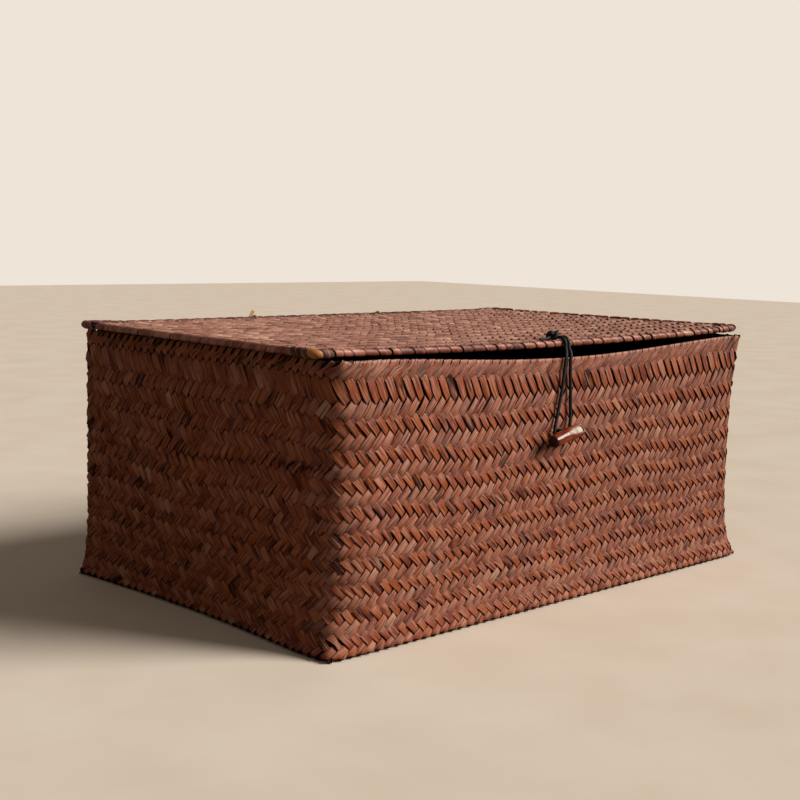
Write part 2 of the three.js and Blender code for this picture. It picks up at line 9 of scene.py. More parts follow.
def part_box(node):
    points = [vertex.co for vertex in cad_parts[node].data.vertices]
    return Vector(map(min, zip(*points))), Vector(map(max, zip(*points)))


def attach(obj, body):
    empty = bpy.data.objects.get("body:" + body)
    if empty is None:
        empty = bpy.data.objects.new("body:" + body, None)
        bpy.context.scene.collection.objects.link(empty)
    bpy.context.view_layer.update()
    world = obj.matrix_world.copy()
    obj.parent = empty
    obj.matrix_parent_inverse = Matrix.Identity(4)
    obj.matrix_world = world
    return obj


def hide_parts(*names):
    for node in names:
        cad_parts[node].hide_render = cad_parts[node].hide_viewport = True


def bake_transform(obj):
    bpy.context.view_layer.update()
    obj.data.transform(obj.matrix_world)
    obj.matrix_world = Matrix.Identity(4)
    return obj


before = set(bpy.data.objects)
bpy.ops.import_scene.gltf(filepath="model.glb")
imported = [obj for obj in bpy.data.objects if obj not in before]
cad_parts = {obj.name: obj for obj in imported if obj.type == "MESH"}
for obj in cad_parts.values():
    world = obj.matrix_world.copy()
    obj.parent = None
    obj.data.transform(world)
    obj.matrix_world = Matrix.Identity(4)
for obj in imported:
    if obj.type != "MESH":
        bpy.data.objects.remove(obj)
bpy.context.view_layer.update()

# Basket body
# One bias plait of flat dyed rush. Every strip starts at the rim, runs down a wall, slants across the
# base and climbs another wall. It goes over two and under two, so the walls show level rows.

# The walls' form. An array has a number for each corner: front left, front right, back right, back left.
body_width = 0.380
body_depth = 0.2436
body_height = 0.1578
corner_radius = np.array([0.030, 0.016, 0.016, 0.016])
front_rim_sag = 0.0069
sag_power = 1.35
far_rim_rise = 0.0012
rise_start = -0.115
rise_run = 0.05
rise_clearance = 0.03
least_rise_share = 0.5
front_rim_lean = 0.004
lean_power = 1.5
wall_bow = 0.001
square_power = 12
middle_square = np.array([0.15, 0.02, 0.3, 1.15])
toe_square = np.array([0.95, 0.6, 1.0, 1.6])
toe_x = np.array([0.0060, 0.0030, 0.0030, 0.0070])
toe_y = np.array([0.0030, 0.0070, 0.0030, -0.0020])
toe_hollow = 0.005
toe_fade = 0.1
rim_square = np.array([0.7, 1.2, 0.7, 0.6])
rim_fade = 0.22
half_corner_arc = 0.9 * corner_radius
half_width = body_width / 2
half_depth = body_depth / 2
corner_x = np.array([-1, 1, 1, -1])
corner_y = np.array([-1, -1, 1, 1])
corner_start = np.array([2, 3, 0, 1]) * math.pi / 2

# The lattice, in cells round the body and levels up the walls.
front_cells = 54
side_cells = 34
rim_level = 42
cell_starts = np.array([0, front_cells, front_cells + side_cells, 2 * front_cells + side_cells])
all_cells = 2 * (front_cells + side_cells)
corner_reach = 1.6
change_over = 6
base_fade = 2.5

# The strips and their folds, at the edge of the base and over the rim.
strip_inset = 0.00125
strip_thickness = 0.0004
strip_lift = 0.00062
strip_width = 0.00512
strip_crown = 0.00008
strip_stride = 37.0
flat_share = 0.3
base_height = 0.0013
base_fold = 0.0012
fold_run = base_fold * math.pi / 4
rim_fold_height = 0.1564
rim_fold_radius = 0.0011
rim_fold_middle = -0.0003
rim_fold_return = 0.0025
wall_run = rim_fold_height - base_height - base_fold + fold_run
level_run = wall_run / rim_level

# The rows grow taller on their way up, and the last one below the rim lost some of its height.
low_rows = 0.82
high_rows = 1.27
rows_power = 1.5
top_row_lost = 0.0040
lost_level = 39.7
lost_reach = 1.3
lost_end = 1.5

random = np.random.default_rng(11)


def smooth_step(value):
    """A smooth rise from nought to one."""
    value = np.clip(value, 0, 1)
    return value * value * (3 - 2 * value)


def hump(distance, reach):
    """A smooth hump: one at no distance, almost nothing beyond two reaches."""
    return np.exp(-(distance / reach) ** 2)


def unit(vectors):
    """The same directions with a length of one."""
    return vectors / np.linalg.norm(vectors, axis=-1, keepdims=True)


def corner_xy(corner, turn, height_share, inset):
    """A point on a body corner, a share of the way round it, moved in by inset."""
    angle = corner_start[corner] + turn * math.pi / 2
    across = np.abs(np.cos(angle)) ** square_power + np.abs(np.sin(angle)) ** square_power
    sharp = across ** (-1 / square_power)
    toe = np.exp(-height_share / toe_fade)
    rim = rim_square[corner] * np.exp(-(1 - height_share) / rim_fade)
    square = np.maximum(middle_square[corner], np.maximum(toe_square[corner] * toe, rim))
    radius = corner_radius[corner]
    reach = (radius - inset) * (1 + square * (sharp - 1))
    return np.stack([
        corner_x[corner] * (half_width - radius + toe_x[corner] * toe) + reach * np.cos(angle),
        corner_y[corner] * (half_depth - radius + toe_y[corner] * toe) + reach * np.sin(angle),
    ], -1)


def wall_point(place, run):
    """The middle of the wall's plait, at a place in cells round the body and a run up from the base."""
    place = np.mod(place, all_cells)
    wall = np.searchsorted(cell_starts, place, side="right") - 1
    wall_cells = np.where(wall % 2 == 0, front_cells, side_cells)
    after = (wall + 1) % 4
    straight = np.where(wall % 2 == 0, body_width, body_depth) - corner_radius[wall] - corner_radius[after]
    whole = straight + half_corner_arc[wall] + half_corner_arc[after]
    share = (place - cell_starts[wall]) / wall_cells
    first_arc = half_corner_arc[wall] / whole
    last_arc = half_corner_arc[after] / whole

    fold = np.clip((run + fold_run) / (2 * fold_run), 0, 1) * math.pi / 2
    inset = strip_inset + base_fold * (1 - np.sin(fold))
    height = base_height + base_fold * (1 - np.cos(fold)) + np.maximum(run - fold_run, 0)
    height_share = height / body_height

    along = np.clip((share - first_arc) / (1 - first_arc - last_arc), 0, 1)
    first = corner_xy(wall, np.ones_like(share), height_share, inset)
    last = corner_xy(after, np.zeros_like(share), height_share, inset)
    out = unit(np.stack([last[..., 1] - first[..., 1], first[..., 0] - last[..., 0]], -1))
    bulge = np.sin(math.pi * along)
    lean = -front_rim_lean * bulge * height_share ** lean_power
    bow = wall_bow * bulge * np.sin(math.pi * np.clip(height_share, 0, 1))
    stands_out = np.where(wall == 0, lean, bow)
    stands_out = stands_out - np.where(wall == 3, toe_hollow * bulge * np.exp(-height_share / toe_fade), 0)
    flat = first + (last - first) * along[..., None] + out * stands_out[..., None]

    leaving = corner_xy(wall, 0.5 + 0.5 * np.clip(share / first_arc, 0, 1), height_share, inset)
    arriving = corner_xy(after, 0.5 * np.clip((share - 1 + last_arc) / last_arc, 0, 1), height_share, inset)
    flat = np.where((share < first_arc)[..., None], leaving, flat)
    flat = np.where((share > 1 - last_arc)[..., None], arriving, flat)
    sag = np.where(wall == 0, front_rim_sag * bulge ** sag_power, 0)
    from_back_corner = np.hypot(np.abs(flat[..., 0]) - half_width, flat[..., 1] - half_depth)
    lowest = np.where(flat[..., 0] < 0, least_rise_share, 0)
    clear = lowest + (1 - lowest) * smooth_step(from_back_corner / rise_clearance)
    sag = sag - far_rim_rise * smooth_step((flat[..., 1] - rise_start) / rise_run) * clear
    return np.concatenate([flat, (height * (1 - sag / body_height))[..., None]], -1)


def wall_normal(place, run):
    """The way out of the wall there."""
    small_place = 0.02
    small_run = 0.0002
    round_it = wall_point(place + small_place, run) - wall_point(place - small_place, run)
    up_it = wall_point(place, run + small_run) - wall_point(place, run - small_run)
    return unit(np.cross(round_it, up_it))


def nearest_edge(cell_x, cell_y):
    """Which edge of the base is nearest, from the front one anticlockwise, and how many cells away."""
    gaps = np.stack([cell_y, front_cells - cell_x, side_cells - cell_y, cell_x], -1)
    return np.argmin(gaps, -1), np.min(gaps, -1)


def place_on_edge(edge, cell_x, cell_y):
    """The place round the body of a point on an edge of the base."""
    return np.choose(edge, [cell_x, front_cells + cell_y, cell_starts[3] - cell_x, all_cells - cell_y])


def base_point(cell_x, cell_y):
    """The middle of the base's plait, at a place in cells from the front left corner."""
    edge_inset = strip_inset + base_fold - fold_run
    reach_x = half_width - edge_inset
    reach_y = half_depth - edge_inset

    def plain(at_x, at_y):
        return np.stack([reach_x * (2 * at_x / front_cells - 1), reach_y * (2 * at_y / side_cells - 1)], -1)

    edge, gap = nearest_edge(cell_x, cell_y)
    place = place_on_edge(edge, cell_x, cell_y)
    edge_x = np.choose(edge, [cell_x, front_cells, cell_x, 0.0])
    edge_y = np.choose(edge, [0.0, cell_y, side_cells, cell_y])
    ring = wall_point(place, np.zeros_like(place))[..., :2]
    fade = 1 - smooth_step(gap / base_fade)
    flat = plain(cell_x, cell_y) + (ring - plain(edge_x, edge_y)) * fade[..., None]
    cell_run = body_depth / side_cells
    fold = np.clip((fold_run - gap * cell_run) / (2 * fold_run), 0, 1) * math.pi / 2
    height = base_height + base_fold * (1 - np.cos(fold))
    return np.concatenate([flat, height[..., None]], -1)


def drawn_askew(place, level):
    """Nobody plaits dead level: the rows wander a little between the base and the rim."""
    free = np.sin(math.pi * np.clip(level / rim_level, 0, 1))
    turn = 2 * math.pi * place / all_cells
    rise = 0.45 * np.sin(5 * turn + 0.7 + 0.05 * level) + 0.3 * np.sin(11 * turn + 2.1 - 0.11 * level)
    slip = 0.16 * np.sin(7 * turn + 0.2 * level) + 0.1 * np.sin(17 * turn + 1 + 0.13 * level)
    return place + slip * free, level + rise * free


def run_at(level):
    """How far up the wall a level lies. Rows are taller towards the rim, but the last is short."""
    share = level / rim_level
    growth = (high_rows - low_rows) / (rows_power + 1)
    climbed = (low_rows * share + growth * share ** (rows_power + 1)) / (low_rows + growth)
    lost = hump(level - lost_level, lost_reach) * smooth_step((rim_level - level) / lost_end)
    return wall_run * climbed + top_row_lost * lost


def clear_of_corners(place):
    """Nought at a corner of the walls, and nearly one three cells away from it."""
    apart = np.abs(np.mod(place, all_cells)[:, None] - np.append(cell_starts, all_cells)).min(-1)
    return 1 - hump(apart, corner_reach)


def off_front(place):
    """Nought on the front wall and one on the others, with a few cells round a corner to change over."""
    past_start = np.mod(place + all_cells / 2, all_cells) - all_cells / 2
    return smooth_step((np.maximum(-past_start, past_start - front_cells) + 0.5) / change_over)


def over_wall(level, leans_right):
    """Whether a strip lies outside at its crossing on that level of a wall."""
    return (np.floor(level / 2) % 2 == 0) == leans_right


def over_base(cell_x, cell_y, runs_right):
    """Whether a strip lies outside at a crossing of the base, whose rows follow the nearest edge."""
    edge, gap = nearest_edge(cell_x, cell_y)
    right_leaning_on_top = np.floor(-gap) % 2 == 0
    return (edge % 2 == 1) == (right_leaning_on_top == runs_right)


def beside_crossings(count):
    """Places a little past each crossing and a little before the next, for a number of steps."""
    return np.stack([np.arange(count) + flat_share, np.arange(1, count + 1) - flat_share], -1).ravel()


def beside(values):
    """The crossings' own values at those places."""
    return np.stack([values[:-1], values[1:]], -1).ravel()


def in_floats(over, lift):
    """Lifts and tones beside the crossings, for a strip that lies flat over or under each."""
    sides = np.where(over, 1.0, -1.0)
    floats = np.append(0, np.cumsum(sides[1:] != sides[:-1]))
    push = 1 + 0.14 * random.standard_normal(floats[-1] + 1)[floats]
    tone = 0.105 * random.standard_normal(floats[-1] + 1)[floats]
    arched = np.repeat(np.where(sides[1:] == sides[:-1], 1.12, 0.95), 2)
    return beside(sides * push) * arched * lift, beside(tone)


def strip_grid(line, facing, lifts, width, tone, tilt=0.0, skew=0.0, painted_light_and_dust=0.0, crown=strip_crown):
    """Three rows of points along a flat strip: its two edges and its raised middle.

    tilt lifts one edge. skew turns the rows to lie along a fold that crosses the strip on a slant.
    The argument after skew says how far the colour there is paled towards a dusty mauve, by dust and by
    painted sheen and highlight; below nought it warms the colour as painted shade."""
    way = unit(np.gradient(line, axis=0))
    side = unit(np.cross(facing, way))
    tilt, skew = (np.broadcast_to(amount, len(line))[:, None] for amount in (tilt, skew))
    half = (width / 2)[:, None] * (side - skew * way) + facing * tilt
    points = np.stack([line - half - facing * crown, line, line + half - facing * crown], 1)
    return {"points": points, "tone": tone, "lift": lifts, "painted_light_and_dust": np.broadcast_to(painted_light_and_dust, len(line))}


def runs_along(points):
    """How far along its line each point lies."""
    return np.append(0, np.cumsum(np.linalg.norm(np.diff(points, axis=0), axis=-1)))


def put_in_scene(name, data):
    """A new object, linked to the scene."""
    made = bpy.data.objects.new(name, data)
    bpy.context.scene.collection.objects.link(made)
    return made


def strips_piece(name, grids, material, thickness=0.0, closed=False):
    """One piece of many strips, each made as a grid and laid along its points. A closed one is a tube."""
    made = bmesh.new()
    for grid in grids:
        rows, columns = grid["points"].shape[:2]
        bmesh.ops.create_grid(made, x_segments=columns - 1, y_segments=rows - 1, size=0.5)
    if not closed:
        for edge in made.edges:
            edge.smooth = not edge.is_boundary
    mesh = bpy.data.meshes.new(name)
    made.to_mesh(mesh)
    made.free()

    points, across, along = [], [], []
    painted = {"tone": [], "lift": [], "painted_light_and_dust": []}
    for number, grid in enumerate(grids):
        rows, columns = grid["points"].shape[:2]
        length = runs_along(grid["points"][:, columns // 2]) / strip_width + strip_stride * number
        points.append(grid["points"].reshape(-1, 3))
        for label, values in painted.items():
            values.append(np.repeat(grid.get(label, np.zeros(rows)), columns))
        across.append(np.tile(np.linspace(0, 1, columns), rows))
        along.append(np.repeat(length, columns))
    mesh.vertices.foreach_set("co", np.concatenate(points).astype(np.float32).ravel())
    for label, values in painted.items():
        attribute = mesh.attributes.new(label, "FLOAT", "POINT")
        attribute.data.foreach_set("value", np.concatenate(values).astype(np.float32))
    corners = np.zeros(len(mesh.loops), np.int32)
    mesh.loops.foreach_get("vertex_index", corners)
    laid = np.stack([np.concatenate(across), np.concatenate(along)], -1)[corners]
    mesh.uv_layers.new(name="strip").data.foreach_set("uv", laid.astype(np.float32).ravel())
    mesh.polygons.foreach_set("use_smooth", np.ones(len(mesh.polygons), bool))

    if closed:
        made = bmesh.new()
        made.from_mesh(mesh)
        bmesh.ops.remove_doubles(made, verts=made.verts, dist=1e-6)
        bmesh.ops.holes_fill(made, edges=[edge for edge in made.edges if edge.is_boundary])
        bmesh.ops.recalc_face_normals(made, faces=made.faces)
        made.to_mesh(mesh)
        made.free()
    mesh.update()
    piece = put_in_scene(name, mesh)
    mesh.materials.append(material)
    if thickness:
        shell = piece.modifiers.new("thickness", "SOLIDIFY")
        shell.thickness = thickness
        shell.offset = 0
    return piece


def colour(text):
    """A colour written as on a screen, as the shader's linear numbers."""
    parts = [int(text[place:place + 2], 16) / 255 for place in (1, 3, 5)]
    parts = [part / 12.92 if part <= 0.04045 else ((part + 0.055) / 1.055) ** 2.4 for part in parts]
    return (*parts, 1)


class Shade:
    """A shader value that sums can be written with. Its add method makes any other node."""

    def __init__(self, tree, socket=None):
        self.tree = tree
        self.socket = socket

    def add(self, kind, settings=None, sockets=None, out=0):
        node = self.tree.nodes.new("ShaderNode" + kind)
        for name, value in (settings or {}).items():
            setattr(node, name, value)
        for name, value in (sockets or {}).items():
            if isinstance(value, Shade):
                self.tree.links.new(value.socket, node.inputs[name])
            else:
                node.inputs[name].default_value = value
        return Shade(self.tree, node.outputs[out])

    def math(self, operation, first, second=0.0):
        return self.add("Math", {"operation": operation}, {0: first, 1: second})

    def __add__(self, other):
        return self.math("ADD", self, other)

    def __sub__(self, other):
        return self.math("SUBTRACT", self, other)

    def __rsub__(self, other):
        return self.math("SUBTRACT", other, self)

    def __mul__(self, other):
        return self.math("MULTIPLY", self, other)

    def __pow__(self, other):
        return self.math("POWER", self, other)

    __radd__ = __add__
    __rmul__ = __mul__

    def clamped(self):
        return self.add("Clamp", {}, {"Value": self})

    def mixed(self, other, share):
        return self.add("Mix", {"data_type": "RGBA"}, {0: share, 6: self, 7: other}, out=2)

    def noise(self, scale, detail):
        return self.add("TexNoise", {}, {"Vector": self, "Scale": scale, "Detail": detail})

    def bump(self, strength, distance):
        return self.add("Bump", {}, {"Strength": strength, "Distance": distance, "Height": self})

    def ramp(self, *stops):
        """The value as a colour between the stops, each a level and a colour."""
        shade = self.add("ValToRGB", {}, {"Fac": self})
        elements = shade.socket.node.color_ramp.elements
        while len(elements) < len(stops):
            elements.new(1)
        for element, (place, text) in zip(elements, stops):
            element.position = place
            element.color = colour(text)
        return shade


def finish_named(name, build, **constants):
    """A material. build gets a Shade to start from and returns the sockets that vary."""
    material = bpy.data.materials.new(name)
    material.use_nodes = True
    tree = material.node_tree
    shader = tree.nodes["Principled BSDF"]
    for label, value in constants.items():
        shader.inputs[label.replace("_", " ")].default_value = value
    for label, value in build(Shade(tree)).items():
        tree.links.new(value.socket, shader.inputs[label])
    return material


def rush(stops, under, fibre_depth, edge_dark, split_dark, gloss=0.36, orange_share=0.0):
    """Flat rush strip: fibres along it and blotched dye, with painted shade at its edges, in its splits and
    where it lies under other strips.
    """
    def build(start):
        place = start.add("UVMap", {"uv_map": "strip"})
        across = start.add("SeparateXYZ", {}, {0: place})
        tone, lift, painted_light_and_dust = (
            start.add("Attribute", {"attribute_name": name}, out=2) for name in ("tone", "lift", "painted_light_and_dust")
        )

        def noise(scale, detail, roughness, moved=(0.0, 0.0, 0.0)):
            laid = start.add("Mapping", {}, {"Vector": place, "Location": moved, "Scale": (*scale, 1.0)})
            return start.add("TexNoise", {"noise_dimensions": "2D"}, {
                "Vector": laid, "Scale": 1.0, "Detail": detail, "Roughness": roughness,
            })

        fibre = noise((9.0, 0.45), 4.0, 0.65)
        blotch = noise((0.9, 0.35), 2.0, 0.5)
        crease = noise((4.6, 0.3), 1.0, 0.5)
        dust = noise((1.6, 0.24), 3.0, 0.6, (3.0, 7.0, 0.0))
        level = (tone + fibre_depth * (fibre - 0.5) + 0.24 * (blotch - 0.5)).clamped()
        # Orange patches in the dye. They are deepened on the walls away from the lamp as painted shade.
        orange_and_shade = (blotch * 6.0 - painted_light_and_dust * 1.2 - 2.7).clamped() * orange_share
        # Dust patches and painted sheen: the dust noise and the strip's light-and-dust attribute pale the
        # colour towards mauve.
        dust_and_sheen = (dust * 3.0 + painted_light_and_dust * 0.6 - 1.5).clamped() * 0.6
        # Painted highlights: pale streaks along the creases, as light glinting off the fibres.
        painted_glint = (crease * 7.0 - 4.1).clamped() * 0.35
        dyed = level.ramp(*stops).mixed(colour("#9a4c18"), orange_and_shade)
        dyed = dyed.mixed(colour("#a87a6a"), dust_and_sheen)
        dyed = dyed.mixed(colour("#c99a7c"), painted_glint)
        # Painted shade: the colour is mixed towards the under colour at the strip's edges, in its splits and
        # where it dives under the crossing strips.
        middle = across * 2.0 - 1.0
        edge = (middle * middle) ** 4.0
        painted_under_shade = (0.45 - lift * 1400.0).clamped()
        split = ((0.42 - crease) * 9.0).clamped()
        shade = (painted_under_shade * 0.85 + edge * edge_dark + split * split_dark).clamped()
        dull = (0.35 - tone).clamped()
        return {
            "Base Color": dyed.mixed(colour(under), shade),
            "Roughness": (gloss + 0.3 * fibre + 0.4 * shade + 1.4 * dull).clamped(),
            "Normal": fibre.bump(0.8, 0.0003),
        }
    return build


body_stops = (
    (0.0, "#320f06"), (0.2, "#62230f"), (0.4, "#84391b"),
    (0.6, "#994f2e"), (0.78, "#a9674a"), (1.0, "#bd876b"),
)
body_shade_colour = "#150502"
body_look = rush(body_stops, body_shade_colour, fibre_depth=0.5, edge_dark=0.35, split_dark=0.6, orange_share=0.7)
body_rush = finish_named("body_rush", body_look, Specular_IOR_Level=0.25)


def strip_tones(count):
    """A tone for each strip: most near the middle, a few darker and a few paler."""
    tones = 0.5 + 0.07 * random.standard_normal(count)
    odd = random.random(count)
    tones[odd < 0.04] -= 0.16
    tones[odd > 0.97] += 0.13
    return tones


# Of each pair, the first is for the left-leaning strips and the second for the right-leaning ones. Tone and
# tint have one pair for the front wall and one for the others; both paint the light, as sheen on the front's
# right-leaning floats and as shade on the walls away from the lamp.
wall_light_tone = np.array([[-0.11, 0.02], [0.03, -0.07]])
wall_light_tint = np.array([[0.0, 1.0], [-0.2, -0.4]])
float_width = (0.91, 0.97)
float_taper = (0.08, 0.05)
taper_level = (3.2, 3.8)
shingle_tilt = (0.0004, 0.0002)
tall_row_wider = (0.17, 0.0)
tall_row_level = 38.4
tall_row_reach = 1.3
widest = 1.04
hidden_wider = 0.26
far_wall_wider = 0.12
top_shade = 0.12
top_shade_level = 40.7
top_shade_reach = 1.2
fold_highlight = 0.5

# One row of the left wall was pulled too tight, and dark slits show all along it.
tight_share = np.array([0.0, 0.39, 0.6, 0.74, 1.0])
tight_height = np.array([0.088, 0.089, 0.094, 0.0985, 0.1])
tight_reach = 0.0026
tight_shade = 0.5
tight_narrower = 0.3

# At the nearest bottom corner a small gap stands open, its floats darkened as painted shade, with paler
# floats just above it.
gap_level = 2.2
pale_level = 3.8
gap_rows = 0.8
gap_cells = 0.9
pale_cells = 1.2


def climb(start_place, leans_right):
    """A strip's way from the base's edge up a wall, and what varies along it, beside each crossing."""
    kind = int(leans_right)
    lean = 1 if leans_right else -1
    levels = np.append(beside_crossings(rim_level), rim_level)
    from_end = np.minimum(levels, rim_level - levels)
    place, level = drawn_askew(start_place + lean * levels / 2, levels)
    slack = np.convolve(random.standard_normal(len(levels)), [0.25, 0.5, 0.5, 0.25], "same")
    place = place + 0.05 * slack * np.minimum(1, from_end / 2)
    there = place % all_cells
    runs = run_at(np.clip(level, 0, rim_level))
    lifts, tones = in_floats(over_wall(np.arange(rim_level + 1), leans_right), strip_lift)
    lifts, tones = np.append(lifts, lifts[-1]), np.append(tones, tones[-1])

    elsewhere = off_front(place)
    low = np.clip(levels / 3, 0, 1)
    # Painted light: the walls away from the front get stronger tone contrast and their own tones and tints
    # as painted shade, and the front's right-leaning floats are paled as painted sheen.
    tones = tones * (1.1 + 0.5 * elsewhere) + np.interp(elsewhere, (0, 1), wall_light_tone[:, kind]) * low
    tones = tones - top_shade * hump(levels - top_shade_level, top_shade_reach)
    painted_light_and_dust = np.interp(elsewhere, (0, 1), wall_light_tint[:, kind]) * low

    uneven = np.convolve(random.standard_normal(len(levels)), [0.3, 0.6, 0.3], "same")
    taper = float_taper[kind] * np.cos((levels - taper_level[kind]) * math.pi / 2)
    widths = np.minimum(float_width[kind] + taper + 0.04 * uneven, widest) - 0.04 * elsewhere
    far_wall = (there > front_cells + 0.5) & (there < cell_starts[3] - 0.5)
    widths = widths + far_wall_wider * far_wall + hidden_wider * np.clip(-lifts / strip_lift, 0, 1)
    widths = widths + tall_row_wider[kind] * hump(levels - tall_row_level, tall_row_reach)

    left_share = (there - cell_starts[3]) / side_cells
    tight = np.interp(left_share, tight_share, tight_height, left=-1) - base_height - runs
    tight = np.clip(1 - np.abs(tight) / tight_reach, 0, 1)
    from_toe = np.minimum(there, all_cells - there)
    gap = hump(from_toe, gap_cells) * hump(levels - gap_level, gap_rows)
    above = hump(from_toe, pale_cells) * hump(levels - pale_level, gap_rows)
    # Painted shade darkens the floats of the tight row and those round the gap.
    tones = tones - tight_shade * tight - 0.3 * gap + 0.3 * above
    widths = widths * (1 - tight_narrower * tight) * (1 - 0.5 * gap)

    tilts = np.clip(np.minimum(levels / 3, rim_level - levels), 0, 1) * shingle_tilt[kind]
    skews = lean * np.clip(1 - from_end / 2, 0, 1)
    skews = skews * np.where(levels > rim_level / 2, clear_of_corners(place), 1)
    if leans_right:
        around = np.radians([45, 90, 135, 180])
        walked = np.append(rim_fold_radius * around, rim_fold_radius * math.pi + rim_fold_return)
        more_places = place[-1] + walked / level_run / high_rows / 2
        fold_lifts = rim_fold_middle + rim_fold_radius * np.cos(around)
        fold_runs = runs[-1] + rim_fold_radius * np.sin(around)
        lifts[-3:] = rim_fold_middle + rim_fold_radius
        place = np.append(place, more_places)
        runs = np.concatenate([runs, fold_runs, [runs[-1] - rim_fold_return]])
        lifts = np.concatenate([lifts, fold_lifts, [fold_lifts[-1]]])
        # Painted highlight: the fold over the rim is paled in tone and towards mauve.
        tones = np.append(tones, tones[-1] + fold_highlight * np.array([0.7, 1, 1, 0.6, 0.2]))
        painted_light_and_dust = np.append(painted_light_and_dust, painted_light_and_dust[-1] + np.array([0.3, 0.6, 0.6, 0.2, 0]))
        widths[-8:] = 1.0
        widths = np.append(widths, np.full(5, widest))
        tilts = np.append(tilts, np.zeros(5))
        skews = np.append(skews, clear_of_corners(more_places))
        if there[-1] > cell_starts[3] - 1:
            widths[-10:] = random.uniform(0.5, 0.82)
    else:
        widths[-6:] = 1.08
        lifts[-2:] = -strip_lift
        place, runs, lifts, tones, widths, tilts, skews, painted_light_and_dust = (
            row[:-1] for row in (place, runs, lifts, tones, widths, tilts, skews, painted_light_and_dust)
        )
    facing = wall_normal(place, np.minimum(runs, wall_run))
    line = wall_point(place, runs) + facing * lifts[:, None]
    if leans_right:
        turned = np.append(around, math.pi)[:, None]
        facing[-5:] = facing[-5:] * np.cos(turned) + np.array([0.0, 0.0, 1.0]) * np.sin(turned)
    return dict(line=line, facing=facing, lifts=lifts, tones=tones, widths=widths, tilts=tilts, skews=skews,
                painted_light_and_dust=painted_light_and_dust)


def whole_strip(cell_x, cell_y, runs_right, tone):
    """One strip from rim to rim, across the base from the edge point given."""
    step_x = 0.5 if runs_right else -0.5
    to_side = (front_cells - cell_x if runs_right else cell_x) * 2
    to_back = (side_cells - cell_y) * 2
    levels = int(round(min(to_side, to_back)))
    crossings = np.arange(levels + 1)
    cross_x = cell_x + step_x * crossings
    cross_y = cell_y + 0.5 * crossings
    lifts, tones = in_floats(over_base(cross_x, cross_y, runs_right), strip_lift)
    steps = beside_crossings(levels)
    facing = np.tile([0.0, 0.0, -1.0], (len(steps), 1))
    line = base_point(cell_x + step_x * steps, cell_y + 0.5 * steps) + facing * lifts[:, None]

    first_side, last_side = (3, 1) if runs_right else (1, 3)
    ends = (
        (first_side if cell_y else 0, cell_x, cell_y),
        (2 if cross_y[-1] >= side_cells else last_side, cross_x[-1], cross_y[-1]),
    )
    first, last = (climb(place_on_edge(edge, x, y), (edge % 2 == 1) == runs_right) for edge, x, y in ends)

    def join(key, between):
        return np.concatenate([first[key][::-1], between, last[key]])

    first["tilts"] = -first["tilts"]
    rows = np.arange(len(steps)) + 0.6
    flat = np.zeros(len(steps))
    skews = first["skews"][0] * np.clip(1 - rows / 4, 0, 1)
    skews = skews + last["skews"][0] * np.clip(1 - (len(steps) - rows) / 4, 0, 1)
    slow = np.arange(len(first["lifts"]) + len(steps) + len(last["lifts"]))
    drift = 0.07 * np.sin(slow / random.uniform(7, 20) + random.uniform(0, 6.28))
    wide = 1 + 0.05 * random.standard_normal() + 0.04 * np.sin(slow / random.uniform(9, 30))
    widths = strip_width * wide * join("widths", 1 + 0.1 * np.clip(-lifts / strip_lift, 0, 1))
    return strip_grid(
        join("line", line),
        join("facing", facing),
        join("lifts", lifts),
        widths,
        tone + drift + join("tones", tones),
        join("tilts", flat),
        join("skews", skews),
        join("painted_light_and_dust", flat),
    )


part_strips = 44
starts = [(cell + 0.5, 0.0) for cell in range(front_cells)]
side_starts = [cell + 0.5 for cell in range(side_cells)]
for family, runs_right in (("right", True), ("left", False)):
    edge_x = 0.0 if runs_right else float(front_cells)
    family_starts = starts + [(edge_x, cell_y) for cell_y in side_starts]
    family_tones = strip_tones(len(family_starts))
    strands = [
        whole_strip(cell_x, cell_y, runs_right, tone)
        for (cell_x, cell_y), tone in zip(family_starts, family_tones)
    ]
    for part, chosen in (("front", strands[:part_strips]), ("side", strands[part_strips:])):
        piece = strips_piece(f"body_strips_{family}_{part}", chosen, body_rush, strip_thickness)
        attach(piece, "basket")
        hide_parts("basket_shell")

# Rim
# The right-leaning strips are folded over the rim and turned down inside it, which gives the smooth
# top edge. Their ends lie side by side against the plait and are pressed flat.

turned_depth = 0.0145
turned_lift = -0.0019
turned_crown = 0.0001


def turned_end(start_place, tone):
    """The end of one strip, from just below the rim's fold down the inside."""
    runs = np.linspace(0.0, 1.0, 9)
    depth = turned_depth * random.uniform(0.86, 1.0)
    walked = math.pi * rim_fold_radius + runs * depth
    place = start_place + rim_level / 2 + walked / level_run / high_rows / 2
    height = wall_run - runs * depth
    lifts = turned_lift + 0.00008 * np.sin(9 * runs + random.uniform(0, 6)) + 0.0002 * runs ** 3
    inward = -wall_normal(place, height)
    return strip_grid(
        wall_point(place, height) - inward * lifts[:, None],
        inward,
        -lifts,
        strip_width * np.full(len(runs), random.uniform(1.1, 1.16)),
        np.full(len(runs), tone),
        skew=clear_of_corners(place),
        crown=turned_crown,
    )


turned_ends = [turned_end(cell + 0.5, tone) for cell, tone in enumerate(strip_tones(all_cells))]
rim_piece = strips_piece("rim_turned_ends", turned_ends, body_rush, strip_thickness)
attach(rim_piece, "basket")
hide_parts("rim_turnover")

# Lid panel
# A flat plait of the same rush, two over and two under, its strips at half a right angle to the edges.
# It hangs down a little in the middle, because only the bound cane round its edge stiffens it.

